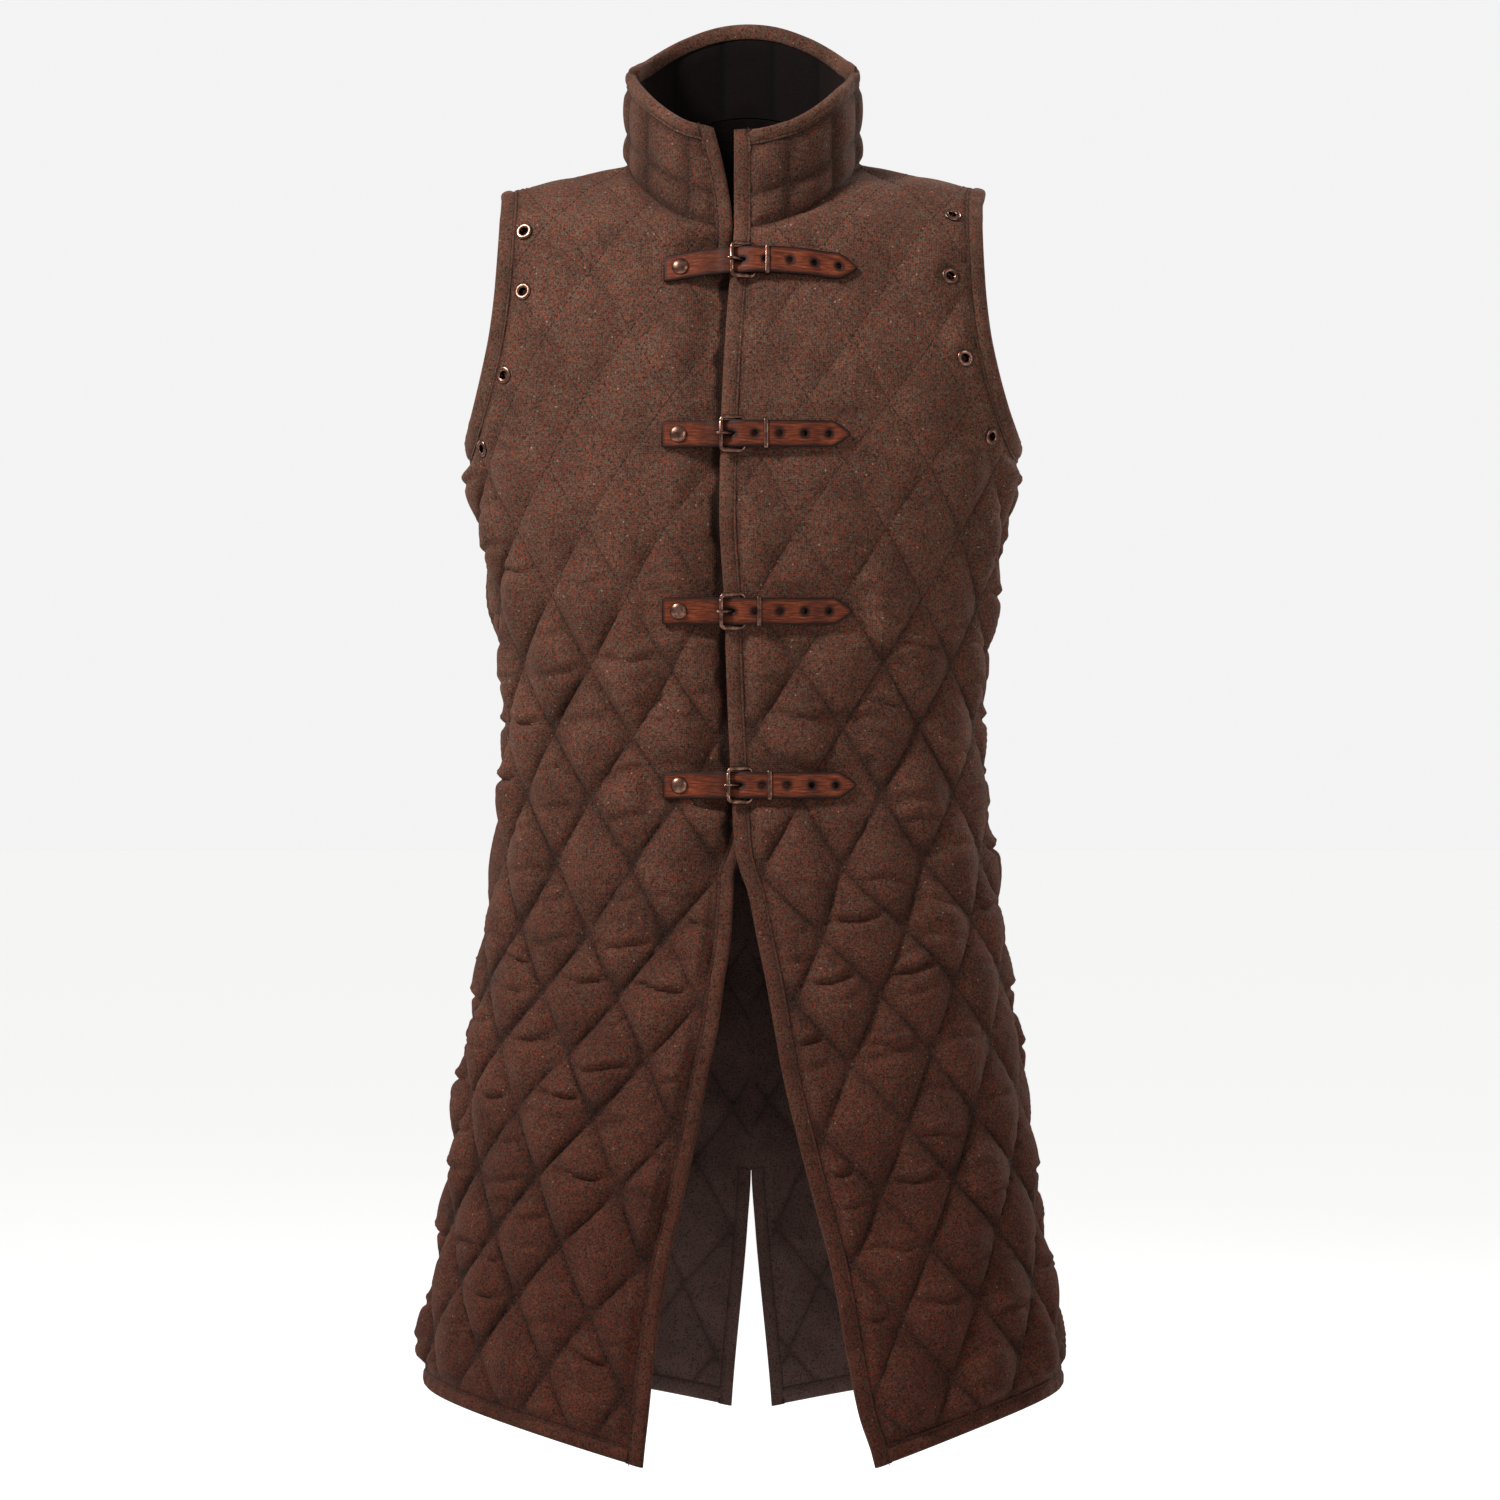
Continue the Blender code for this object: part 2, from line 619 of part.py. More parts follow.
def lattice(low, high):
    """The quilting between two corners of the flat cloth: its points, which of them are corners
    and pillow middles, and the pairs that a stitch line joins."""
    points = []
    plain = []
    pairs = []
    numbers = {}

    def add(column, row):
        key = (round(column * 2), round(row * 2))
        if key not in numbers:
            numbers[key] = len(points)
            place = (FIRST_CORNER + DIAMOND_HALF_WIDTH * column, CORNER_ROW + DIAMOND_HALF_HEIGHT * row)
            points.append(place)
            plain.append(column % 1 == 0 and row % 1 == 0)
        return numbers[key]

    columns = range(math.floor((low[0] - FIRST_CORNER) / DIAMOND_HALF_WIDTH) - 1,
                    math.ceil((high[0] - FIRST_CORNER) / DIAMOND_HALF_WIDTH) + 2)
    rows = range(math.floor((low[1] - CORNER_ROW) / DIAMOND_HALF_HEIGHT) - 1,
                 math.ceil((high[1] - CORNER_ROW) / DIAMOND_HALF_HEIGHT) + 2)
    for column in columns:
        for row in rows:
            here = add(column, row)
            if (column + row) % 2:
                for side, up in ((0.5, 0), (-0.5, 0), (0, 0.5), (0, -0.5)):
                    add(column + side, row + up)
                continue
            for up in (1, -1):
                middle = add(column + 0.5, row + up / 2)
                pairs.append((here, middle))
                pairs.append((middle, add(column + 1, row + up)))
    return np.array(points), np.array(plain), pairs


def keep_clear(points, pairs, loops, guests, distance):
    """Drop the points outside the cloth, near its edges or near the guests, and their pairs."""
    keep = inside(points, loops) & (edge_distance(points, loops) > distance)
    if len(guests):
        gaps = np.linalg.norm(points[:, None, :] - guests[None, :, :], axis=2).min(axis=1)
        keep &= gaps > distance
    numbers = np.cumsum(keep) - 1
    pairs = [(numbers[a], numbers[b]) for a, b in pairs if keep[a] and keep[b]]
    return points[keep], pairs


def triangulate(loops, points, pairs):
    """Fill the cloth with triangles. Each outline point keeps its number."""
    places = np.concatenate(list(loops) + [points])
    edges = []
    first = 0
    for loop in loops:
        count = len(loop)
        edges += [(first + step, first + (step + 1) % count) for step in range(count)]
        first += count
    edges += [(int(a) + first, int(b) + first) for a, b in pairs]
    result = delaunay_2d_cdt([Vector(place) for place in places], edges, [], 0, 1e-4)
    found = np.array([(v.x, v.y) for v in result[0]])
    middles = np.array([found[list(face)].mean(axis=0) for face in result[2]])
    faces = [face for face, keep in zip(result[2], inside(middles, loops)) if keep]
    numbers = {}
    for number, sources in enumerate(result[3]):
        for source in sources:
            numbers[source] = number
    rim = []
    first = 0
    for loop in loops:
        rim.append([numbers[first + step] for step in range(len(loop))])
        first += len(loop)
    return found, faces, rim


def finish_mesh(name, points, faces, paint):
    """Make a closed object from points in millimetres."""
    mesh = bpy.data.meshes.new(name)
    mesh.from_pydata([tuple(point * MM) for point in np.asarray(points, dtype=float)], [], faces)
    work = bmesh.new()
    work.from_mesh(mesh)
    loose = [vert for vert in work.verts if not vert.link_faces]
    bmesh.ops.delete(work, geom=loose, context="VERTS")
    bmesh.ops.triangulate(work, faces=work.faces[:])
    bmesh.ops.recalc_face_normals(work, faces=work.faces[:])
    work.to_mesh(mesh)
    work.free()
    mesh.shade_smooth()
    mesh.set_sharp_from_angle(angle=math.radians(50))
    mesh.materials.append(paint)
    thing = bpy.data.objects.new(name, mesh)
    bpy.context.scene.collection.objects.link(thing)
    return thing


def make_wall(name, loops, outer, inner, place_outer, place_inner, paint):
    """Make a wall between an outer and an inner skin that share the same outlines."""
    outer_flat, outer_faces, outer_rim = triangulate(loops, *outer)
    inner_flat, inner_faces, inner_rim = triangulate(loops, *inner)
    count = len(outer_flat)
    points = np.concatenate((place_outer(outer_flat), place_inner(inner_flat)))
    faces = [list(face) for face in outer_faces]
    faces += [[vert + count for vert in reversed(face)] for face in inner_faces]
    for outside, within in zip(outer_rim, inner_rim):
        for step in range(len(outside)):
            following = (step + 1) % len(outside)
            faces.append([outside[step], within[step] + count, within[following] + count,
                          outside[following]])
    return finish_mesh(name, points, faces, paint)


def make_band(name, stations, section, closed, paint):
    """Sweep a section of share and lift along stations: edge point, normal, inner point, normal."""
    points = []
    faces = []
    size = len(section)
    for edge, edge_normal, inner, inner_normal in stations:
        for share, lift in section:
            normal = edge_normal * (1 - share) + inner_normal * share
            points.append(edge + (inner - edge) * share + normal / np.linalg.norm(normal) * lift)
    count = len(stations)
    for step in range(count if closed else count - 1):
        following = (step + 1) % count
        for corner in range(size):
            beside = (corner + 1) % size
            faces.append([step * size + corner, step * size + beside,
                          following * size + beside, following * size + corner])
    if not closed:
        faces.append(list(range(size)))
        faces.append([(count - 1) * size + corner for corner in reversed(range(size))])
    return finish_mesh(name, points, faces, paint)


def make_paint(name, colour, roughness, metallic=0.0):
    """A plain Principled material from an sRGB colour."""
    paint = bpy.data.materials.new(name)
    paint.use_nodes = True
    shader = paint.node_tree.nodes["Principled BSDF"]
    channels = [int(colour[place:place + 2], 16) / 255 for place in (1, 3, 5)]
    linear = [c / 12.92 if c <= 0.04045 else ((c + 0.055) / 1.055) ** 2.4 for c in channels]
    shader.inputs["Base Color"].default_value = (*linear, 1.0)
    shader.inputs["Roughness"].default_value = roughness
    shader.inputs["Metallic"].default_value = metallic
    return paint


def make_panel(name, panel, paint):
    """A quilted panel with its eyelet holes cut through."""
    loops = [panel_outline(panel)]
    guests = []
    guest_pairs = []
    for _, p, q, _ in eyelet_flats(panel):
        loops.append(circle((p, q), EYELET_CUT, EYELET_SIDES))
        guests += list(circle((p, q), EYELET_CALM, 8))
    if panel.half == "front":
        for closure in CLOSURES:
            for band in (CLOSURE_BAND, -CLOSURE_BAND):
                row = []
                for s in spread(STRAP_START - CLOSURE_PAST, closure.tip + CLOSURE_PAST, 9):
                    tall = closure_line(closure, s) + band
                    row.append(panel.flat(np.float64(s * panel.side), np.float64(tall)))
                row, _ = keep_clear(np.array(row), [], loops[:1], [], OUTER_CLEAR)
                numbers = [len(guests) + step for step in range(len(row))]
                guests += list(row)
                guest_pairs += list(zip(numbers, numbers[1:]))
    guests = np.array(guests).reshape(-1, 2)
    points, plain, pairs = lattice(loops[0].min(axis=0), loops[0].max(axis=0))
    inner = keep_clear(points[plain], [], loops, [], INNER_CLEAR)
    points, pairs = keep_clear(points, pairs, loops, guests, OUTER_CLEAR)
    shift = len(guests)
    outer = (np.concatenate((guests, points)),
             guest_pairs + [(a + shift, b + shift) for a, b in pairs])

    def place_outer(flat):
        return panel.place(flat[:, 0], flat[:, 1], panel_lift(panel, flat, loops))[0]

    def place_inner(flat):
        return panel.place(flat[:, 0], flat[:, 1], np.full(len(flat), WALL_INSIDE))[0]

    return make_wall(name, loops, outer, inner, place_outer, place_inner, paint)


class Collar:
    """The stand collar: c runs round from the centre back, v runs up from the neckline."""

    def __init__(self):
        samples = []
        quarter = FINE_STEPS // 2 + 1
        for half, turns in (("front", spread(0, math.pi / 2, quarter)),
                            ("back", spread(math.pi / 2, 0, quarter)[1:])):
            for turn in turns:
                x = NECK_HALF_WIDTH * math.sin(turn)
                z = neckline_z(half, x)
                s = ring_distance(half, np.float64(x), z)
                if turn == math.pi / 2:
                    s = ring_length(half, 0.0)
                samples.append(body(half, 1, s, cloth_height[half](z))[0])
        samples = np.array(samples)
        self.base = samples
        level = np.hypot(np.diff(samples[:, 0]), np.diff(samples[:, 1]))
        self.length = np.concatenate(([0.0], np.cumsum(level)))
        self.half = self.length[-1]
        tangent = np.gradient(samples[:, :2], axis=0)
        outward = np.stack((tangent[:, 1], -tangent[:, 0]), axis=1)
        outward[0] = (0.0, -1.0)
        outward[-1] = (0.0, 1.0)
        self.outward = outward / np.linalg.norm(outward, axis=1, keepdims=True)

    def round_of(self, x, half):
        """Distance from the centre front, along the neckline, of a place at x."""
        turns = math.asin(min(1.0, abs(x) / NECK_HALF_WIDTH)) / math.pi * FINE_STEPS
        index = turns if half == "front" else FINE_STEPS - turns
        return math.copysign(float(np.interp(index, np.arange(FINE_STEPS + 1), self.length)), x)

    def edge(self, side, v):
        """Distance from the centre front of the collar's end."""
        if side == LEFT:
            return float(left_edge(-NECK_DROP))
        return -float(right_edge(-NECK_DROP)) + COLLAR_LEAN * (v / COLLAR_HEIGHT) ** COLLAR_LEAN_POWER

    def place(self, side, d, v, lift=0.0):
        """Point of the collar, and its outward direction, at a distance from the centre front."""
        d = np.asarray(d, dtype=float)
        along = np.abs(d)
        point = np.stack([np.interp(along, self.length, self.base[:, axis]) for axis in range(3)], -1)
        out = np.stack([np.interp(along, self.length, self.outward[:, axis]) for axis in range(2)], -1)
        out = np.concatenate((out, np.zeros(out.shape[:-1] + (1,))), axis=-1)
        flip = np.stack((side * np.where(d < 0, -1.0, 1.0), np.ones(d.shape), np.ones(d.shape)), -1)
        point = point + out * np.asarray(lift, dtype=float)[..., None]
        point[..., 2] += v
        return point * flip, out * flip

    def place_round(self, c, v, lift):
        """Point of the collar at a distance from the centre back, positive to the left."""
        side = np.where(c < 0, -1.0, 1.0)
        d = self.half - np.abs(c)
        point, out = self.place(1, d, v, lift)
        flip = np.stack((side, np.ones(side.shape), np.ones(side.shape)), -1)
        return point * flip, out * flip


def collar_stations(collar):
    """Places round the collar that the panels' neckline points share."""
    places = {}
    for side in (LEFT, RIGHT):
        first = BINDING + SEAM_GAP + float(Panel("front", side).edge(-NECK_DROP))
        front = [collar.half - collar.round_of(x, "front") for x in neck_xs("front", first)]
        back = [collar.half - collar.round_of(x, "back") for x in neck_xs("back", SEAM_GAP / 2)]
        places[side] = (front, back)
    left = list(reversed(places[LEFT][1][:-1])) + places[LEFT][0]
    right = list(reversed(places[RIGHT][1][:-1])) + places[RIGHT][0]
    return [-c for c in reversed(right)] + [0.0] + left


def make_collar(collar, paint):
    """The collar's quilted wall, between its end bindings and under its rim binding."""
    low = COLLAR_SEAT
    high = COLLAR_HEIGHT - COLLAR_RIM - SEAM_GAP
    stations = collar_stations(collar)
    ups = spread(low, high, COLLAR_END_STEPS)

    def end(side, v):
        return side * (collar.half - collar.edge(side, v) - BINDING - SEAM_GAP)

    outline = [(end(RIGHT, low), low)] + [(c, low) for c in stations[1:-1]] + [(end(LEFT, low), low)]
    outline += [(end(LEFT, v), v) for v in ups[1:]]
    outline += [(c, high) for c in reversed(stations[1:-1]) if end(RIGHT, high) + 4 < c]
    outline += [(end(RIGHT, v), v) for v in reversed(ups[1:])]
    loops = [np.array(outline, dtype=float)]
    columns = np.arange(-7, 8) * COLLAR_LINE_PITCH
    points = []
    for c in columns:
        points += [(c, 12.0), (c, COLLAR_GROOVE), (c, 41.0)]
        line = c + COLLAR_LINE_PITCH / 2
        points += [(line, 12.0), (line, COLLAR_GROOVE), (line, 41.0)]
    outer = keep_clear(np.array(points), [], loops, [], 5.0)[0]
    inner = keep_clear(np.array([(c, 32.0) for c in columns]), [], loops, [], 8.0)[0]

    def lift(flat):
        column = np.abs(np.cos(flat[:, 0] * math.pi / COLLAR_LINE_PITCH))
        lower = np.sin(np.clip(flat[:, 1] / COLLAR_GROOVE, 0, 1) * math.pi)
        upper = np.sin(np.clip((flat[:, 1] - COLLAR_GROOVE) / (high - COLLAR_GROOVE), 0, 1) * math.pi)
        height = np.where(flat[:, 1] < COLLAR_GROOVE, lower, upper)
        fade = ease(edge_distance(flat, loops) / 8)
        return COLLAR_PUFF * np.sqrt(np.clip(column * height, 0, 1)) * fade

    def place_outer(flat):
        return collar.place_round(flat[:, 0], flat[:, 1], lift(flat))[0]

    def place_inner(flat):
        return collar.place_round(flat[:, 0], flat[:, 1], np.full(len(flat), COLLAR_INSIDE))[0]

    return make_wall("collar", loops, (outer, []), (inner, []), place_outer, place_inner, paint)


def make_rim_binding(collar, paint):
    """The binding along the collar's top, between the two front bindings."""
    low = COLLAR_HEIGHT - COLLAR_RIM
    ends = [side * (collar.half - collar.edge(side, COLLAR_HEIGHT) - BINDING - SEAM_GAP)
            for side in (RIGHT, LEFT)]
    inner_ends = [side * (collar.half - collar.edge(side, low) - BINDING - SEAM_GAP)
                  for side in (RIGHT, LEFT)]
    middle = [c for c in collar_stations(collar)[1:-1] if ends[0] + 4 < c < ends[1] - 4]
    tops = [ends[0]] + middle + [ends[1]]
    bottoms = [inner_ends[0]] + middle + [inner_ends[1]]
    stations = []
    for top, bottom in zip(tops, bottoms):
        stations.append(collar.place_round(np.float64(top), COLLAR_HEIGHT, 0.0)
                        + collar.place_round(np.float64(bottom), low, 0.0))
    make_band("collar_rim_binding", stations, RIM_EDGE, False, paint)


def make_front_binding(panel, collar, paint):
    """The binding of one front edge, unbroken from the hem to the collar's top."""
    heights = [HEM] + edge_heights(panel)[0]
    stations = []
    for q in heights:
        p = panel.edge(q) - panel.swing(q)
        stations.append(panel.place(p, q) + panel.place(p + BINDING, q))
    ups = spread(COLLAR_SEAT, COLLAR_HEIGHT - COLLAR_RIM - SEAM_GAP, COLLAR_END_STEPS)
    for v in ups + [COLLAR_HEIGHT]:
        d = collar.edge(panel.side, v)
        stations.append(collar.place(panel.side, d, v) + collar.place(panel.side, d + BINDING, v))
    make_band(f"front_binding_{SIDE_NAMES[panel.side]}", stations, FLAT_EDGE, False, paint)


def make_hem_binding(front, back, paint):
    """The binding of one side's hem, from the front binding round to the back slit."""
    stations = []
    for panel in (front, back):
        edges = hem_flats(panel, HEM, 0.0)
        inners = hem_flats(panel, HEM + BINDING, 0.0)
        row = []
        for (p, q), (inner_p, inner_q) in zip(edges, inners):
            row.append(panel.place(p, q) + panel.place(inner_p, inner_q))
        stations += row if panel is front else list(reversed(row))[1:]
    make_band(f"hem_binding_{SIDE_NAMES[front.side]}", stations, BOUND_EDGE, False, paint)


def make_slit_binding(panel, paint):
    """The binding of one edge of the back slit."""
    heights = [HEM] + edge_heights(panel)[0][:-1] + [SLIT_TOP]
    stations = []
    for q in heights:
        p = panel.edge(q) - panel.swing(q)
        stations.append(panel.place(p, q) + panel.place(p + SLIT_BINDING, q))
    make_band(f"back_slit_binding_{SIDE_NAMES[panel.side]}", stations, BOUND_EDGE, False, paint)


def make_armhole_binding(front, back, paint):
    """The closed binding round one armhole."""
    stations = []
    for panel in (front, back):
        point, inward, normal = armhole_edge(panel)
        flats = armhole_flats(panel, ARMHOLE_BINDING)
        row = []
        for step, (p, q) in enumerate(flats):
            inner, inner_normal = panel.place(p, q)
            if step in (0, len(flats) - 1):
                inner[1] = 0.0
            flip = np.array([panel.side, 1.0, 1.0])
            row.append((point[step] * flip, normal[step] * flip, inner, inner_normal))
        stations += row if panel is front else list(reversed(row))[1:-1]
    make_band(f"armhole_binding_{SIDE_NAMES[front.side]}", stations, BOUND_EDGE, True, paint)


def on_front(closure, a, b, lift):
    """Point of the front, beside a closure's centre line, and its outward direction."""
    a = np.asarray(a, dtype=float)
    tall = closure_line(closure, a) + b
    return body("front", 1, a, cloth_height["front"](air_height["front"](tall)), lift)


def strap_lift(closure):
    """Lift of the strap's underside along it."""
    bar = closure.bar
    heel = bar + BUCKLE_LENGTH
    keeper = closure.keeper
    rows = (
        (STRAP_START, 1.3), (bar - 12, 1.4), (bar - 4, 2.4), (bar + 2, 2.5), (heel - 3, 4.4),
        (heel, 4.65), (heel + 4, 4.55), (keeper - 3, 4.4), (keeper + 3, 4.35), (keeper + 12, 3.5),
        (CHAPE_END - 2, 3.4), (CHAPE_END + 12, 1.8), (closure.tip, 1.3),
    )
    return smooth_table(rows)


def chape_lift(closure):
    """Lift of the buckle strap's underside along it."""
    heel = closure.bar + BUCKLE_LENGTH
    keeper = closure.keeper
    rows = ((heel, 1.6), (keeper - 3, 2.0), (keeper + 3, 2.0), (keeper + 10, 1.1), (CHAPE_END, 1.0))
    return smooth_table(rows)


def make_strip(name, closure, columns, loops, lift, thick, paint):
    """A leather strip in the front's surface, with points down its middle at its columns."""
    middle = keep_clear(np.array([(a, 0.0) for a in columns]), [], loops, [], STRIP_CLEAR)

    def place(level):
        def skin(flat):
            return on_front(closure, flat[:, 0], flat[:, 1], lift(flat[:, 0]) + level)[0]
        return skin

    return make_wall(name, loops, middle, middle, place(thick), place(0.0), paint)


def strip_outline(columns, half_at):
    """Outline of a strip, along its lower edge and back along its upper one."""
    lower = [(a, -half_at(a)) for a in columns]
    upper = [(a, half_at(a)) for a in reversed(columns)]
    return lower, upper


def make_strap(closure, paint):
    """The long strap, pointed at its tip, with its row of holes and the slot for the prong."""
    bar = closure.bar
    tip = closure.tip
    half = STRAP_WIDTH / 2

    def half_at(a):
        sewn_end = min(1.0, (a - STRAP_START + 1.5) / 3.0)
        point = min(1.0, max(0.0, (tip - a) / STRAP_POINT))
        return half * (0.86 + 0.14 * sewn_end) * point ** 0.62

    bends = [bar - 12, bar - 4, bar + 2, bar + 12, bar + 16, bar + 20]
    columns = sorted(set(spread(STRAP_START, tip - STRAP_POINT, 14)) | set(bends))
    columns = [a for a, after in zip(columns, columns[1:] + [tip]) if after - a > 2.5]
    columns += [tip - STRAP_POINT * share for share in (0.66, 0.33, 0.1)]
    lower, upper = strip_outline(columns, half_at)
    slot = circle((0, 0), 1.0, 8) * np.array(PRONG_SLOT) + np.array((bar + PRONG_SLOT_FROM_BAR, 0))
    loops = [np.array(lower + [(tip, 0.0)] + upper), slot]
    for step in range(1, STRAP_HOLES + 1):
        a = bar + PRONG_SLOT_FROM_BAR + STRAP_HOLE_PITCH * step
        if a < tip - STRAP_POINT:
            loops.append(circle((a, 0.0), STRAP_HOLE_RADIUS, 8))
    name = f"strap_{closure.number}"
    make_strip(name, closure, columns, loops, strap_lift(closure), STRAP_THICK, paint)


def make_chape(closure, paint):
    """The short strap that holds the buckle, sewn to the left front."""
    start = closure.bar + BUCKLE_LENGTH + BUCKLE_BAR + CHAPE_GAP
    half = STRAP_WIDTH / 2 - 0.4

    def half_at(a):
        return half * (0.84 if a > CHAPE_END - 1 else 1.0)

    columns = spread(start, CHAPE_END - 3, 8) + [CHAPE_END]
    lower, upper = strip_outline(columns, half_at)
    name = f"chape_{closure.number}"
    make_strip(name, closure, columns, [np.array(lower + upper)], chape_lift(closure), CHAPE_THICK, paint)


def make_wire(name, closure, path, section, closed, paint):
    """Sweep a section along a path of along, across and lift in the front's surface."""
    places = np.array([on_front(closure, a, b, lift)[0] for a, b, lift in path])
    middle = on_front(closure, path[0][0], 0.0, 0.0)[1]
    count = len(places)
    stations = []
    for step in range(count):
        before = places[step - 1] if closed or step else places[step]
        after = places[(step + 1) % count] if closed or step < count - 1 else places[step]
        along = after - before
        along /= np.linalg.norm(along)
        beside = np.cross(middle, along) if abs(middle @ along) < 0.9 else np.array((0.0, 0.0, 1.0))
        beside -= along * (beside @ along)
        beside /= np.linalg.norm(beside)
        up = np.cross(along, beside)
        stations.append((places[step], up, places[step] + beside, up))
    return make_band(name, stations, section, closed, paint)


def round_section(radius, sides):
    """Section of a round bar."""
    turns = [math.tau * (step + 0.5) / sides for step in range(sides)]
    return [(radius * math.cos(turn), radius * math.sin(turn)) for turn in turns]


def make_buckle(closure, paint):
    """The buckle's rectangular frame, its free bar over the strap and its heel bar under it."""
    bar = closure.bar
    heel = bar + BUCKLE_LENGTH
    high = BUCKLE_HALF_HEIGHT
    corner = BUCKLE_CORNER

    def point(a, b):
        share = (a - bar) / BUCKLE_LENGTH
        return a, b, FREE_BAR_LIFT + (HEEL_BAR_LIFT - FREE_BAR_LIFT) * share

    bow = 0.29 * corner
    path = [
        point(bar, -high + corner), point(bar, 0), point(bar, high - corner),
        point(bar + bow, high - bow), point(bar + corner, high),
        point(heel - corner, high), point(heel - bow, high - bow),
        point(heel, high - corner), point(heel, 0), point(heel, -high + corner),
        point(heel - bow, -high + bow), point(heel - corner, -high),
        point(bar + corner, -high), point(bar + bow, -high + bow),
    ]
    make_wire(f"buckle_{closure.number}", closure, path, round_section(BUCKLE_BAR, 6), True, paint)


def make_prong(closure, paint):
    """The prong, from beside the heel bar up through the strap and onto the free bar."""
    path = [(closure.bar + along, 0.0, lift) for along, lift in PRONG_PATH]
    section = round_section(PRONG_RADIUS, 6)
    make_wire(f"prong_{closure.number}", closure, path, section, False, paint)


def make_keeper(closure, paint):
    """The metal loop that holds the strap down on the buckle strap."""
    keeper = closure.keeper
    high = KEEPER_HALF_HEIGHT
    flat = high - KEEPER_CORNER
    path = [
        (-flat, KEEPER_LOW), (0.0, KEEPER_LOW), (flat, KEEPER_LOW),
        (high, KEEPER_LOW + KEEPER_CORNER), (high, KEEPER_HIGH - KEEPER_CORNER),
        (flat, KEEPER_HIGH), (0.0, KEEPER_HIGH), (-flat, KEEPER_HIGH),
        (-high, KEEPER_HIGH - KEEPER_CORNER), (-high, KEEPER_LOW + KEEPER_CORNER),
    ]
    places = np.array([on_front(closure, keeper, b, lift)[0] for b, lift in path])
    across = on_front(closure, keeper + 1.0, 0.0, 0.0)[0] - on_front(closure, keeper - 1.0, 0.0, 0.0)[0]
    across /= np.linalg.norm(across)
    stations = []
    for step, here in enumerate(places):
        along = places[(step + 1) % len(places)] - places[step - 1]
        out = np.cross(along, across)
        out /= np.linalg.norm(out)
        stations.append((here, out, here + across, out))
    half = KEEPER_WIDTH / 2
    thick = KEEPER_HALF_THICK
    section = ((-half, thick), (half, thick), (half, -thick), (-half, -thick))
    make_band(f"keeper_{closure.number}", stations, section, True, paint)


def make_turned(name, centre, normal, profile, sides, closed, paint):
    """Turn a profile of radius and lift round the normal."""
    beside = np.cross(normal, (0.0, 0.0, 1.0))
    beside /= np.linalg.norm(beside)
    up = np.cross(beside, normal)
    points = []
    faces = []
    rings = []
    for radius, lift in profile:
        if radius == 0:
            rings.append([len(points)])
            points.append(centre + normal * lift)
            continue
        rings.append(list(range(len(points), len(points) + sides)))
        for step in range(sides):
            turn = math.tau * (step + 0.5) / sides
            points.append(centre + normal * lift
                          + (beside * math.cos(turn) + up * math.sin(turn)) * radius)
    pairs = list(zip(rings, rings[1:]))
    if closed:
        pairs.append((rings[-1], rings[0]))
    for one, other in pairs:
        for step in range(sides):
            beside_step = (step + 1) % sides
            corners = [one[step % len(one)], one[beside_step % len(one)],
                       other[beside_step % len(other)], other[step % len(other)]]
            faces.append(list(dict.fromkeys(corners)))
    return finish_mesh(name, points, faces, paint)


def make_rivet(closure, paint):
    """The domed rivet cap at the strap's sewn end."""
    lift = float(strap_lift(closure)(RIVET_X)) + STRAP_THICK + SEAM_GAP
    centre, normal = on_front(closure, np.float64(RIVET_X), 0.0, lift)
    profile = ((0, 3.0), (3.4, 2.5), (5.5, 1.1), (RIVET_RADIUS, 0.0), (0, 0.0))
    make_turned(f"rivet_{closure.number}", centre, normal, profile, 12, False, paint)


def make_eyelets(panel, paint):
    """The eyelets of a panel, each a turned ring clamped through the cloth."""
    for number, p, q, seat in eyelet_flats(panel):
        inner = WALL_INSIDE - seat
        profile = (
            (EYELET_HOLE, seat + EYELET_RIM), (EYELET_RADIUS, seat + EYELET_RIM), (EYELET_RADIUS, seat),
            (EYELET_BARREL, seat), (EYELET_BARREL, inner), (EYELET_RADIUS, inner),
            (EYELET_RADIUS, inner - EYELET_RIM), (EYELET_HOLE, inner - EYELET_RIM),
        )
        centre, normal = panel.place(p, q)
        name = f"eyelet_{SIDE_NAMES[panel.side]}_{panel.half}_{number}"
        make_turned(name, centre, normal, profile, EYELET_SIDES, True, paint)


def make_closure(closure, leather, metal):
    """One strap with its rivet, buckle, prong, keeper and buckle strap."""
    make_strap(closure, leather)
    make_chape(closure, leather)
    make_rivet(closure, metal)
    make_buckle(closure, metal)
    make_prong(closure, metal)
    make_keeper(closure, metal)


def main():
    """Build the whole garment."""
    for thing in list(bpy.data.objects):
        bpy.data.objects.remove(thing, do_unlink=True)
    wool = make_paint("quilted_wool", "#5f463c", 0.95)
    edge_wool = make_paint("binding_wool", "#5a4238", 0.95)
    leather = make_paint("strap_leather", "#6f3320", 0.55)
    metal = make_paint("antique_metal", "#8a6650", 0.38, 1.0)
    collar = Collar()
    make_collar(collar, wool)
    make_rim_binding(collar, edge_wool)
    for side in (LEFT, RIGHT):
        front = Panel("front", side)
        back = Panel("back", side)
        make_panel(f"front_{SIDE_NAMES[side]}", front, wool)
        make_panel(f"back_{SIDE_NAMES[side]}", back, wool)
        make_front_binding(front, collar, edge_wool)
        make_hem_binding(front, back, edge_wool)
        make_slit_binding(back, edge_wool)
        make_armhole_binding(front, back, edge_wool)
        make_eyelets(front, metal)
        make_eyelets(back, metal)
    for closure in CLOSURES:
        make_closure(closure, leather, metal)


main()
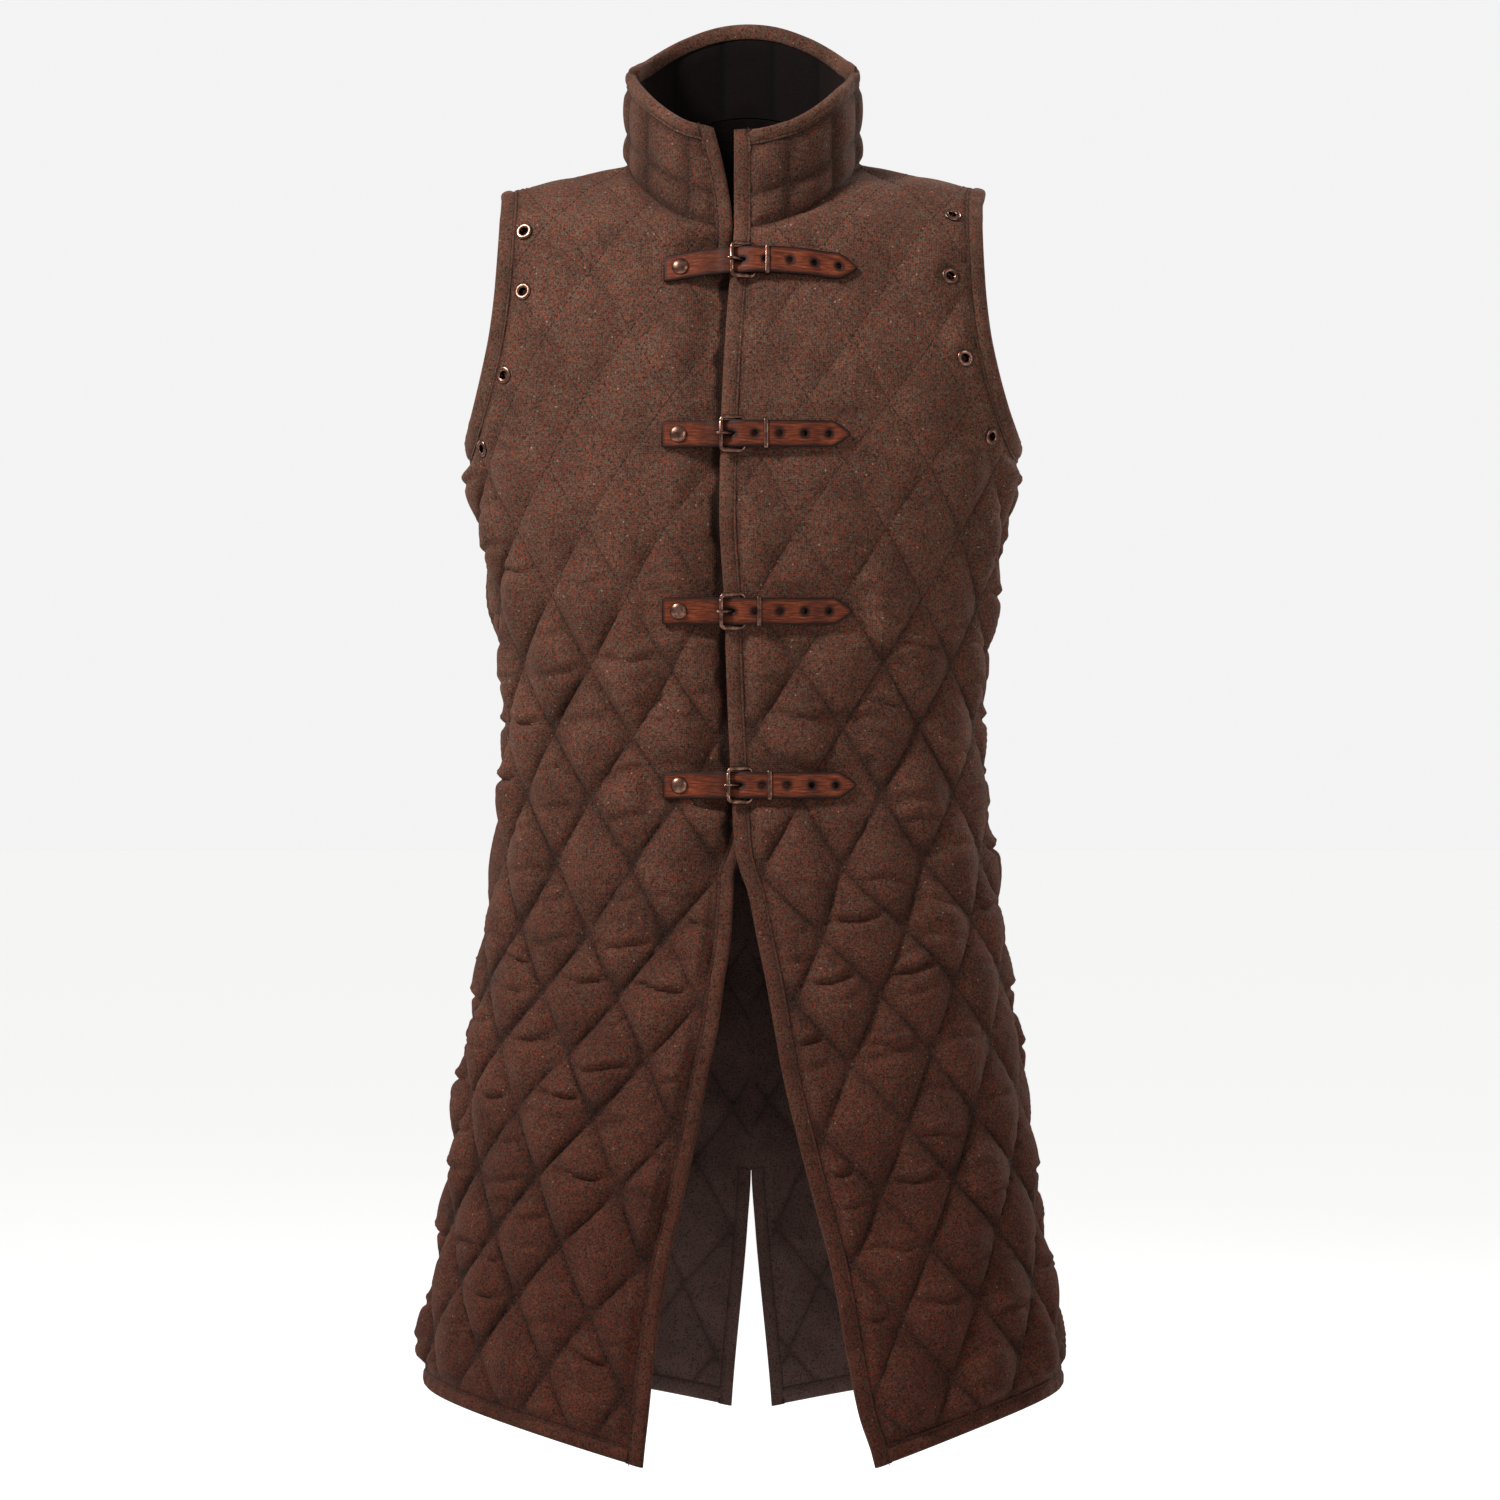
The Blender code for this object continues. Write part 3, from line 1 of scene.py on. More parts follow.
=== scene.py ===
# %% [markdown]
# # A quilted gambeson
#
# A gambeson is a padded coat that was worn under armour, or alone. Two layers of wool hold a layer of
# wadding, and stitches in crossing slanted rows keep the wadding in place, so the cloth swells into
# diamonds between them. This one has no sleeves. It has a stand collar, folded bindings on every
# edge, brass eyelets round the armholes and four buckled straps at the front.
#
# The lesson works in this order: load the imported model, repeat the sizes that its shape follows, make
# the cloth, the bindings, the stitches, the straps and the metal, and then light it.

import math
from collections import namedtuple

import bmesh
import bpy
import numpy as np
from mathutils import Matrix, Vector
from mathutils.geometry import delaunay_2d_cdt


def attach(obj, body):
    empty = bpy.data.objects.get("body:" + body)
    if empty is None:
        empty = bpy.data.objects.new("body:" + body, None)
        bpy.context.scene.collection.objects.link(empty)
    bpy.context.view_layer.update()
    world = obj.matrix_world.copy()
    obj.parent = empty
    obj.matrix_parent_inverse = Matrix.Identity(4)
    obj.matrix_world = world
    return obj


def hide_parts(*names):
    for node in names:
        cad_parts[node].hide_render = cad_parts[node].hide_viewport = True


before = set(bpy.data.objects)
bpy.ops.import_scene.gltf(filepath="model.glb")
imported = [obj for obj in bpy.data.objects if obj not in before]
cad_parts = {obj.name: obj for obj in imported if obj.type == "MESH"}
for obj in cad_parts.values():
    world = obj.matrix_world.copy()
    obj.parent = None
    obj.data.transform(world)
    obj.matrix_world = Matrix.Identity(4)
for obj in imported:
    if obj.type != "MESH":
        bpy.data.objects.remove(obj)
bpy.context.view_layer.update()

# %% [markdown]
# ## The sizes of the coat
#
# Every size is in millimetres, and meshes are made in metres. +Z is up, and the front faces -Y. Left and
# right are the wearer's, so left is +X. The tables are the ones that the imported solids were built
# from: they give the body's half width, depth and edges at each height, and smooth curves join their
# rows. A lift is a distance off the surface that the quilting stitches pull down to. Sewn neighbours
# reach 0.3 mm into each other here, so that no light comes through a seam.

# %% The sizes of the coat
MM = 0.001
SEAM_LAP = 0.3
TABLE_LIFT = 4.0
WALL_INSIDE = -5.0
DIAMOND_HALF_WIDTH = 31.0
DIAMOND_HALF_HEIGHT = 47.5
FIRST_CORNER = 16.0
CORNER_ROW = -327.0
HEM = -938.0
HEM_RISE = 40.0
RISE_START = -430.0
SWING_START = -500.0
SWING_LENGTH = 70.0
BINDING = 12.0
ARMHOLE_BINDING = 13.0
SLIT_BINDING = 10.0
SLIT_TOP = -755.0
NECK_HALF_WIDTH = 86.0
NECK_DROP = 58.0
NECK_CLIMB = 43.0
NECK_ROUND = 0.8
RING_SQUARENESS = 2.2
SHOULDER_TIP_X = 180.0
SHOULDER_TIP_Z = -22.0
UNDERARM_Z = -211.0
COLLAR_HEIGHT = 70.0
COLLAR_GROOVE = 23.5
COLLAR_SEAT = -0.5
COLLAR_RIM = 11.0
COLLAR_LINE_PITCH = 40.0
COLLAR_LEAN = 14.0
COLLAR_LEAN_POWER = 1.6
COLLAR_INSIDE = -6.0
LAP_DROP = 8.6
LAP_FLAT = 15.0
LAP_END = 48.0
LEFT = 1
RIGHT = -1
SIDE_NAMES = {LEFT: "left", RIGHT: "right"}
STRAP_START = -53.0
STRAP_FARTHEST = 87.0

# height, half width of the body at its side line, which is the shoulder ridge above the tip
SIDE_LINE = (
    (60, 60), (40, 70), (30, 77), (20, 81), (10, 84), (0, 86), (-4, 105), (-10, 130), (-16, 155),
    (-22, 180), (-35, 201), (-60, 217), (-95, 226), (-130, 228), (-160, 225), (-190, 216),
    (-211, 208), (-260, 197), (-310, 187), (-360, 180), (-412, 177), (-460, 179), (-500, 182),
    (-560, 191), (-620, 199), (-700, 211), (-780, 220), (-850, 233), (-900, 238), (-965, 243),
)

# height, depth of the front from the side line
FRONT_DEPTH = (
    (0, 6), (-4, 13.5), (-10, 22), (-16, 35), (-22, 47), (-35, 62), (-41, 68), (-51, 79), (-60, 83),
    (-95, 93), (-130, 102), (-160, 109), (-210, 117), (-260, 119), (-310, 116), (-360, 111),
    (-412, 106), (-460, 107), (-500, 112), (-560, 121), (-620, 129), (-700, 137), (-780, 143),
    (-850, 147), (-900, 150), (-965, 153),
)

# height, depth of the back from the side line
BACK_DEPTH = (
    (60, 70), (42, 77), (30, 81), (20, 85), (10, 89), (0, 93), (-10, 97), (-22, 100), (-60, 107),
    (-95, 112), (-160, 115), (-210, 115), (-260, 111), (-310, 105), (-360, 101), (-412, 100),
    (-460, 104), (-500, 111), (-560, 122), (-620, 130), (-700, 137), (-780, 142), (-850, 146),
    (-900, 148), (-965, 151),
)

# height on the cloth, height in the air: the cloth runs longer where it turns over the shoulder
FRONT_CLOTH = (
    (39, 0), (31, -4), (20, -10), (6, -16), (-8, -22), (-26, -35), (-49, -51), (-95, -95),
    (-150, -150), (-965, -965),
)
BACK_CLOTH = (
    (98, 60), (76, 42), (66, 30), (58, 20), (50, 10), (42, 0), (28, -4), (10, -10), (-3, -16),
    (-14, -22), (-30, -35), (-58, -60), (-95, -95), (-150, -150), (-965, -965),
)

# height, x of the left front's edge, x of the right front's edge
FRONT_EDGES = (
    (0, -1.5, -2.5), (-66, -3.5, -4.5), (-76, -4.2, -5.0), (-94, -5.5, 6.5), (-130, -8, 4),
    (-205, -11, 1), (-268, -12, 0), (-325, -9, 3), (-395, -7, 5), (-450, -4.5, 7.5), (-485, -2.5, 9),
    (-505, -0.8, 4.5), (-520, 3, -1.5), (-532, 7.7, -2), (-566, 15, -3.5), (-597, 21.7, -8),
    (-628, 27.5, -12), (-665, 34.5, -20), (-700, 43, -26), (-751, 56.5, -37), (-800, 69.5, -48),
    (-860, 80.7, -57), (-900, 89, -61), (-937, 101, -65), (-965, 105, -67),
)

# height, how far the right front's edge has sunk under the left one
LAP_DEPTH = ((0, 0), (-56, 0), (-74, 1), (-518, 1), (-580, 0), (-965, 0))

# height, half width of the open back slit
BACK_SLIT = ((60, 0.15), (-755, 0.15), (-800, 3.0), (-938, 15.5), (-965, 17.0))

# height, x of the armhole's edge as seen from the front
ARMHOLE_LINE = (
    (-22, 180), (-30, 178), (-45, 177.5), (-60, 177.8), (-96, 179.5), (-129, 183), (-162, 190),
    (-191, 199), (-203, 204), (-211, 207.9),
)

# heights of the strap's riveted end, buckle and tip, and x of the buckle's free bar, keeper and tip
Closure = namedtuple("Closure", "number start_z buckle_z tip_z bar keeper tip")
CLOSURES = (
    Closure(1, -90.0, -84.0, -89.5, -4.0, 21.5, 86.0),
    Closure(2, -210.0, -210.0, -210.0, -10.3, 21.5, 82.0),
    Closure(3, -335.5, -335.5, -335.5, -10.3, 16.5, 83.5),
    Closure(4, -459.0, -459.0, -459.0, -5.5, 23.6, 86.5),
)

# x and z as seen from the front, on either side, and how far the eyelet's seat lifts it
Eyelet = namedtuple("Eyelet", "number left_x left_z right_x right_z seat")
EYELETS = (
    Eyelet(1, 154.0, -46.0, -157.0, -58.0, 1.4),
    Eyelet(2, 153.0, -93.0, -157.0, -103.0, 0.7),
    Eyelet(3, 164.0, -153.0, -171.0, -164.0, 0.7),
    Eyelet(4, 184.0, -209.0, -190.0, -216.0, 0.8),
)
print("closures:", len(CLOSURES), "eyelets on each quarter:", len(EYELETS))

# %% [markdown]
# ## Smooth curves through short tables
#
# A cutter draws a curve through a few measured points with a bent ruler. The function below does the
# same for a table: its curve passes through every row and never swings past two neighbours, which a
# plain spline would do at a sharp change, such as where the neck meets the shoulder.

# %% Smooth curves through short tables
def smooth_table(rows, column=1, key=0):
    """Return a function that runs smoothly through a table's rows and never overshoots them."""
    rows = sorted(rows, key=lambda row: row[key])
    place = np.array([row[key] for row in rows], dtype=float)
    value = np.array([row[column] for row in rows], dtype=float)
    step = np.diff(place)
    slope = np.diff(value) / step
    tangent = np.zeros_like(value)
    tangent[0] = slope[0]
    tangent[-1] = slope[-1]
    before, after = slope[:-1], slope[1:]
    same = before * after > 0
    early = 2 * step[1:] + step[:-1]
    late = step[1:] + 2 * step[:-1]
    inner = np.zeros(len(value) - 2)
    inner[same] = (early + late)[same] / (early[same] / before[same] + late[same] / after[same])
    tangent[1:-1] = inner

    def read(where):
        where = np.clip(where, place[0], place[-1])
        row = np.clip(np.searchsorted(place, where) - 1, 0, len(step) - 1)
        t = (where - place[row]) / step[row]
        start = (1 + 2 * t) * (1 - t) ** 2 * value[row] + t * (1 - t) ** 2 * step[row] * tangent[row]
        end = t * t * (3 - 2 * t) * value[row + 1] + t * t * (t - 1) * step[row] * tangent[row + 1]
        return start + end

    return read


def ease(value):
    """Rise smoothly from 0 to 1 as the value does."""
    value = np.clip(value, 0.0, 1.0)
    return value * value * (3 - 2 * value)


def unit(vectors):
    """The same directions, each 1 long."""
    return vectors / np.linalg.norm(vectors, axis=-1, keepdims=True)


def spread(low, high, count):
    """Evenly spaced values, both ends included."""
    return [low + (high - low) * step / (count - 1) for step in range(count)]


half_width = smooth_table(SIDE_LINE)
depth = {"front": smooth_table(FRONT_DEPTH), "back": smooth_table(BACK_DEPTH)}
air_height = {"front": smooth_table(FRONT_CLOTH), "back": smooth_table(BACK_CLOTH)}
cloth_height = {"front": smooth_table(FRONT_CLOTH, 0, 1), "back": smooth_table(BACK_CLOTH, 0, 1)}
left_edge = smooth_table(FRONT_EDGES, 1)
right_edge = smooth_table(FRONT_EDGES, 2)
lap_depth = smooth_table(LAP_DEPTH)
back_slit = smooth_table(BACK_SLIT)
armhole_x = smooth_table(ARMHOLE_LINE)
print("chest half width:", float(half_width(-211.0)), "waist:", float(half_width(-412.0)))

# %% [markdown]
# ## The body as a tube of rings
#
# Each height has a ring, a little squarer than an ellipse, as a padded chest is. A place on the coat is
# given by its distance along the ring from the centre front or centre back, its height on the cloth,
# and its lift off the stitched surface. Distances along a ring have no plain formula, so a table holds
# them for many ratios of depth to width.

# %% The body as a tube of rings
STEPS = 180
SETTLE_STEPS = 12
ANGLES = np.linspace(0.0, math.pi / 2, STEPS + 1)
RATIOS = np.linspace(0.02, 1.42, 141)
RING_POWER = 2.0 / RING_SQUARENESS
SIDE_TURN = 0.03
PROBE = 0.5
ACROSS = np.sin(ANGLES) ** RING_POWER
DEEP = np.cos(ANGLES) ** RING_POWER
ARC = np.array([
    np.concatenate(([0.0], np.cumsum(np.hypot(np.diff(ACROSS), ratio * np.diff(DEEP)))))
    for ratio in RATIOS
])
ANGLE_AT = np.array([np.interp(np.linspace(0, 1, STEPS + 1), row / row[-1], ANGLES) for row in ARC])


def look_up(table, ratio, column):
    """Read a table between its rows and columns."""
    row = np.clip((ratio - RATIOS[0]) / (RATIOS[1] - RATIOS[0]), 0, len(RATIOS) - 1.001)
    column = np.clip(column, 0, STEPS - 0.0001)
    top = row.astype(int)
    left = column.astype(int)
    down = row - top
    over = column - left
    upper = table[top, left] * (1 - over) + table[top, left + 1] * over
    lower = table[top + 1, left] * (1 - over) + table[top + 1, left + 1] * over
    return upper * (1 - down) + lower * down


def ring_length(half, z):
    """Length along the ring from the centre line to the side line."""
    width = half_width(z)
    ratio = np.asarray(depth[half](z) / width, dtype=float)
    return width * look_up(ARC, ratio, np.full(ratio.shape, float(STEPS)))


def ring_distance(half, x, z):
    """Distance along the ring, from the centre line to the place that lies x across."""
    x = np.asarray(x, dtype=float)
    width = half_width(z)
    ratio = np.asarray(depth[half](z) / width, dtype=float) + np.zeros(x.shape)
    share = np.clip(np.abs(x) / width, 0, 1)
    angle = np.arcsin(share ** (1 / RING_POWER))
    return np.sign(x) * width * look_up(ARC, ratio, angle / ANGLES[-1] * STEPS)


def ring_place(half, s, q):
    """Point of the table's surface, and how near it is to the side line, from 0 to 1."""
    s, q = np.broadcast_arrays(np.asarray(s, dtype=float), np.asarray(q, dtype=float))
    z = air_height[half](q)
    width = half_width(z)
    deep = depth[half](z)
    share = np.clip(np.abs(s) / ring_length(half, z), 0, 1)
    angle = look_up(ANGLE_AT, deep / width, share * STEPS)
    x = np.sign(s) * width * np.sin(angle) ** RING_POWER
    facing = -1.0 if half == "front" else 1.0
    y = facing * deep * np.maximum(np.cos(angle), 0.0) ** RING_POWER
    return np.stack((x, y, z + 0 * x), axis=-1), share


def body(half, side, s, q, lift=0.0):
    """Point at a distance along the ring, a height on the cloth and a lift off the stitched surface."""
    point, share = ring_place(half, s, q)
    along = ring_place(half, s + PROBE, q)[0] - ring_place(half, s - PROBE, q)[0]
    rise = ring_place(half, s, q + PROBE)[0] - ring_place(half, s, q - PROBE)[0]
    normal = np.cross(along, rise)
    if half == "back":
        normal = -normal
    normal[..., 1] *= np.minimum(1.0, (1.0 - share) / SIDE_TURN)
    normal = unit(normal)
    point = point + normal * (np.asarray(lift, dtype=float)[..., None] - TABLE_LIFT)
    flip = np.array([side, 1.0, 1.0])
    return point * flip, normal * flip


print("ring at the chest, front half:", round(float(ring_length("front", np.float64(-211))), 1), "mm")

# %% [markdown]
# ## Four cut panels
#
# The coat is cut as two fronts and two backs. Each is drawn flat here: p runs from the middle edge to
# the side seam and q runs up. Below the waist the rows of quilting rise towards the side and swing out
# with the opening skirt, as cloth cut on a flare does. The left front laps over the right one, so the
# right one sinks under it near the middle.

# %% Four cut panels
class Panel:
    """One quarter of the body's cloth, drawn flat: p runs from the middle to the side, q runs up."""

    def __init__(self, half, side):
        self.half = half
        self.side = side
        self.name = f"{half}_{SIDE_NAMES[side]}"

    def edge(self, q):
        """Distance along the ring of the panel's middle edge."""
        if self.half == "back":
            return back_slit(q)
        if self.side == LEFT:
            return left_edge(q)
        return -right_edge(q)

    def swing(self, q):
        """How far the quilting has swung sideways with the opening skirt."""
        return ease((SWING_START - q) / SWING_LENGTH) * self.edge(q)

    def height(self, p, q):
        """Height of a flat point once the skirt's rows rise towards the side."""
        reach = ring_length(self.half, air_height[self.half](q)) - self.swing(q)
        share = np.clip(p / reach, 0, 1)
        rise = HEM_RISE * ease((RISE_START - q) / (RISE_START - HEM))
        return q + rise * np.sin(share * math.pi / 2)

    def place(self, p, q, lift=0.0):
        """Point in space of a flat point, and its outward direction."""
        p = np.asarray(p, dtype=float)
        q = np.asarray(q, dtype=float)
        tall = self.height(p, q)
        s = self.swing(tall) + p
        if self.half == "front" and self.side == RIGHT:
            near = 1 - ease((s - self.edge(tall) - LAP_FLAT) / (LAP_END - LAP_FLAT))
            lift = lift - LAP_DROP * near * lap_depth(tall)
        return body(self.half, self.side, s, tall, lift)

    def flat(self, s, tall):
        """Flat point of a place on the ring."""
        p = s - self.swing(tall)
        q = tall
        for _ in range(SETTLE_STEPS):
            q = tall - (self.height(p, q) - q)
        return p, q

    def flat_seen(self, x, z):
        """Flat point of a place as seen from the front, at x on this side."""
        x = np.minimum(x, half_width(z))
        s = ring_distance(self.half, x, z)
        return self.flat(s, cloth_height[self.half](z))

    def side_flat(self, q, gap):
        """Flat point on the side line, the gap short of it, for a flat height."""
        p = np.asarray(ring_length(self.half, q), dtype=float)
        for _ in range(SETTLE_STEPS):
            tall = self.height(p, q)
            p = ring_length(self.half, air_height[self.half](tall)) - gap - self.swing(tall)
        return p, q


FRONTS = {side: Panel("front", side) for side in (LEFT, RIGHT)}
BACKS = {side: Panel("back", side) for side in (LEFT, RIGHT)}
PANELS = [FRONTS[LEFT], FRONTS[RIGHT], BACKS[LEFT], BACKS[RIGHT]]
print("panels:", [panel.name for panel in PANELS])

# %% [markdown]
# ## The outlines of the panels
#
# A panel's outline runs along the hem, up the side seam, round the armhole, along the shoulder seam,
# round the neck and down the middle edge. Each run stops short of the binding that covers the cut
# edge. The points lie a few millimetres apart, so that the curves look round.

# %% The outlines of the panels
NECK_STEPS = 36
RIDGE_STEPS = 30
SIDE_STEPS = 230
HEM_STEPS = 110
EDGE_STEPS = 290
SLIT_STEPS = 62
ARMHOLE_STEPS = 80
FINE_STEPS = 240


def neckline_z(half, x):
    """Height of the neckline at x as seen from the front."""
    fall = max(0.0, 1 - (x / NECK_HALF_WIDTH) ** 2) ** NECK_ROUND
    return -NECK_DROP * fall if half == "front" else NECK_CLIMB * fall


def neck_flats(panel, first):
    """Flat points of the neckline, from the ridge to the middle."""
    start = math.asin(max(0.0, first) / NECK_HALF_WIDTH)
    xs = [NECK_HALF_WIDTH * math.sin(turn) for turn in spread(math.pi / 2, start, NECK_STEPS)]
    points = [panel.flat_seen(x, neckline_z(panel.half, x)) for x in xs]
    points[-1] = panel.flat(np.float64(first), cloth_height[panel.half](neckline_z(panel.half, first)))
    return points


def ridge_xz(x):
    """Point of the shoulder ridge."""
    table = sorted((row[1], row[0]) for row in SIDE_LINE if SHOULDER_TIP_Z <= row[0] <= 0)
    return x, float(np.interp(x, [row[0] for row in table], [row[1] for row in table]))


def ridge_flats(panel, outer_x):
    """Flat points of the shoulder seam, from the armhole to the neck."""
    points = []
    for x in spread(outer_x, NECK_HALF_WIDTH, RIDGE_STEPS)[:-1]:
        z = ridge_xz(x)[1]
        s = ring_length(panel.half, z) + SEAM_LAP / 2
        points.append(panel.flat(s, cloth_height[panel.half](z)))
    return points


def armhole_edge(panel):
    """Points, inward and outward directions along the armhole, from the underarm to the shoulder."""
    zs = np.array(spread(UNDERARM_Z, SHOULDER_TIP_Z, FINE_STEPS + 1))
    xs = np.minimum(armhole_x(zs), half_width(zs))
    xs[0] = half_width(zs[0])
    xs[-1] = SHOULDER_TIP_X
    s = ring_distance(panel.half, xs, zs)
    s[0] = ring_length(panel.half, zs[0])
    s[-1] = ring_length(panel.half, zs[-1])
    points, normals = body(panel.half, 1, s, cloth_height[panel.half](zs))
    length = np.concatenate(([0.0], np.cumsum(np.linalg.norm(np.diff(points, axis=0), axis=1))))
    places = np.linspace(0, length[-1], ARMHOLE_STEPS + 1)

    def read(values, where):
        return np.stack([np.interp(where, length, values[:, axis]) for axis in range(3)], axis=1)

    point = read(points, places)
    normal = unit(read(normals, places))
    inward = unit(np.cross(normal, read(points, places + 2) - read(points, places - 2)))
    inward *= np.sign(-inward[ARMHOLE_STEPS // 2, 0])
    tip = np.array(ridge_xz(SHOULDER_TIP_X - 20)) - np.array(ridge_xz(SHOULDER_TIP_X))
    inward[0] = (0.0, 0.0, -1.0)
    inward[-1] = (tip[0] / np.hypot(*tip), 0.0, tip[1] / np.hypot(*tip))
    return point, inward, normal


def armhole_flats(panel, inset):
    """Flat points that lie inside the armhole's edge, from the underarm to the shoulder."""
    point, inward, _ = armhole_edge(panel)
    inner = point + inward * inset
    flats = [panel.flat_seen(max(0.0, x), z) for x, y, z in inner]
    under_z = UNDERARM_Z - inset
    side = ring_length(panel.half, under_z) + SEAM_LAP / 2
    flats[0] = panel.flat(side, cloth_height[panel.half](under_z))
    tip_x, tip_z = ridge_xz(SHOULDER_TIP_X - inset)
    side = ring_length(panel.half, tip_z) + SEAM_LAP / 2
    flats[-1] = panel.flat(side, cloth_height[panel.half](tip_z))
    return flats


def hem_flats(panel, q, gap):
    """Flat points along the hem at one flat height, from the middle edge to the side."""
    inset = BINDING if panel.half == "front" else SLIT_BINDING
    start = panel.edge(q) - panel.swing(q) + inset - SEAM_LAP
    end = panel.side_flat(q, gap)[0]
    return [(start + (end - start) * share, q) for share in spread(0.0, 1.0, HEM_STEPS)]


def side_heights():
    """Heights of the side seam's points, from the hem to the underarm."""
    probe = FRONTS[LEFT]
    low = float(probe.height(*probe.side_flat(HEM + BINDING - SEAM_LAP, -SEAM_LAP / 2)))
    return spread(low, UNDERARM_Z - ARMHOLE_BINDING + SEAM_LAP, SIDE_STEPS)


def edge_heights(panel):
    """Flat heights of a bound middle edge's points, from the hem up."""
    low = HEM + BINDING - SEAM_LAP
    if panel.half == "back":
        return spread(low, SLIT_TOP - SEAM_LAP, SLIT_STEPS)
    first = BINDING - SEAM_LAP + float(panel.edge(-NECK_DROP))
    return spread(low, float(neck_flats(panel, first)[-1][1]), EDGE_STEPS)


def panel_outline(panel):
    """Flat outline of a panel, from the middle of the hem round by the side, shoulder and neck."""
    low = HEM + BINDING - SEAM_LAP
    points = hem_flats(panel, low, -SEAM_LAP / 2)
    for z in side_heights()[1:-1]:
        points.append(panel.flat(ring_length(panel.half, z) + SEAM_LAP / 2, np.float64(z)))
    points += armhole_flats(panel, ARMHOLE_BINDING - SEAM_LAP)[:-1]
    points += ridge_flats(panel, SHOULDER_TIP_X - ARMHOLE_BINDING + SEAM_LAP)
    heights = edge_heights(panel)
    if panel.half == "front":
        first = BINDING - SEAM_LAP + float(panel.edge(-NECK_DROP))
        points += neck_flats(panel, first)
        for q in reversed(heights[1:-1]):
            points.append((panel.edge(q) - panel.swing(q) + BINDING - SEAM_LAP, q))
        return np.array(points, dtype=float)
    points += neck_flats(panel, -SEAM_LAP / 2)
    top = float(points[-1][1])
    seam = spread(top, SLIT_TOP - 2 * SEAM_LAP, EDGE_STEPS)
    points += [(-SEAM_LAP / 2, q) for q in seam[1:]]
    for q in reversed(heights[1:]):
        points.append((panel.edge(q) - panel.swing(q) + SLIT_BINDING - SEAM_LAP, q))
    return np.array(points, dtype=float)


OUTLINES = {panel.name: panel_outline(panel) for panel in PANELS}
print("outline points:", {name: len(points) for name, points in OUTLINES.items()})

# %% [markdown]
# ## Filling an outline with triangles
#
# A panel's outline is curved and has holes for the eyelets, so a square grid doesn't fit it. Blender
# can join loose points into well-shaped triangles inside an outline. Two helpers tell it which points
# lie inside the cloth, and how far each is from an edge.

# %% Filling an outline with triangles
EDGE_REACH = 25.0
EDGES_AT_ONCE = 12


def edge_distance(points, loops, reach=EDGE_REACH):
    """Distance from each flat point to the nearest outline, up to a reach."""
    best = np.full(len(points), reach)
    for loop in loops:
        ends = np.roll(loop, -1, axis=0)
        for first in range(0, len(loop), EDGES_AT_ONCE):
            start = loop[first:first + EDGES_AT_ONCE]
            along = ends[first:first + EDGES_AT_ONCE] - start
            low = np.minimum(start, start + along).min(axis=0) - reach
            high = np.maximum(start, start + along).max(axis=0) + reach
            near = np.flatnonzero(((points > low) & (points < high)).all(axis=1))
            if not len(near):
                continue
            offset = points[near, None, :] - start[None, :, :]
            long = np.maximum((along * along).sum(axis=1), 1e-9)
            t = np.clip((offset * along).sum(axis=2) / long, 0, 1)
            gap = offset - t[..., None] * along
            best[near] = np.minimum(best[near], np.sqrt((gap * gap).sum(axis=2)).min(axis=1))
    return best


def inside(points, loops):
    """Whether each flat point lies in the cloth, between the outline and its holes."""
    order = np.argsort(points[:, 1])
    heights = points[order, 1]
    crossings = np.zeros(len(points), dtype=int)
    for loop in loops:
        for start, end in zip(loop, np.roll(loop, -1, axis=0)):
            if start[1] == end[1]:
                continue
            low, high = sorted((start[1], end[1]))
            rows = order[np.searchsorted(heights, low):np.searchsorted(heights, high)]
            share = (points[rows, 1] - start[1]) / (end[1] - start[1])
            crossings[rows] += points[rows, 0] < start[0] + share * (end[0] - start[0])
    return crossings % 2 == 1


def triangulate(loops, points):
    """Fill the cloth with triangles. Each outline point keeps its number."""
    places = np.concatenate(list(loops) + [points])
    edges = []
    first = 0
    for loop in loops:
        count = len(loop)
        edges += [(first + step, first + (step + 1) % count) for step in range(count)]
        first += count
    result = delaunay_2d_cdt([Vector(place) for place in places], edges, [], 0, 1e-4)
    found = np.array([(v.x, v.y) for v in result[0]])
    middles = found[np.array(result[2])].mean(axis=1)
    faces = np.array(result[2])[inside(middles, loops)]
    numbers = {source: number for number, sources in enumerate(result[3]) for source in sources}
    rims = []
    first = 0
    for loop in loops:
        rims.append(np.array([numbers[first + step] for step in range(len(loop))]))
        first += len(loop)
    return found, faces, rims


def keep_inside(points, loops, clear, reach=EDGE_REACH):
    """The points that lie in the cloth and stay clear of its edges."""
    points = points[inside(points, loops)]
    return points[edge_distance(points, loops, reach) > clear]


def square_points(low, high, step):
    """Points of a square grid that covers a box."""
    across, up = np.meshgrid(np.arange(low[0], high[0], step), np.arange(low[1], high[1], step))
    return np.stack((across.ravel(), up.ravel()), axis=1)


def circle(centre, radius, sides):
    """Points round a circle on the flat cloth."""
    turns = [math.tau * (step + 0.5) / sides for step in range(sides)]
    return np.array([(centre[0] + radius * math.cos(t), centre[1] + radius * math.sin(t)) for t in turns])


print("helpers for filling outlines are ready")

# %% [markdown]
# ## Finished meshes
#
# Every piece ends as a mesh whose object sits at the origin. The cloth also carries an attribute with
# its two flat coordinates, so that a weave can follow the cloth instead of the room, and a third number
# that says how open each point is to the light. On leather the third is the distance from a cut edge.

# %% Finished meshes
def link_new(name, data):
    """A new object in the scene that holds a mesh, a lamp or a camera."""
    thing = bpy.data.objects.new(name, data)
    bpy.context.scene.collection.objects.link(thing)
    return thing


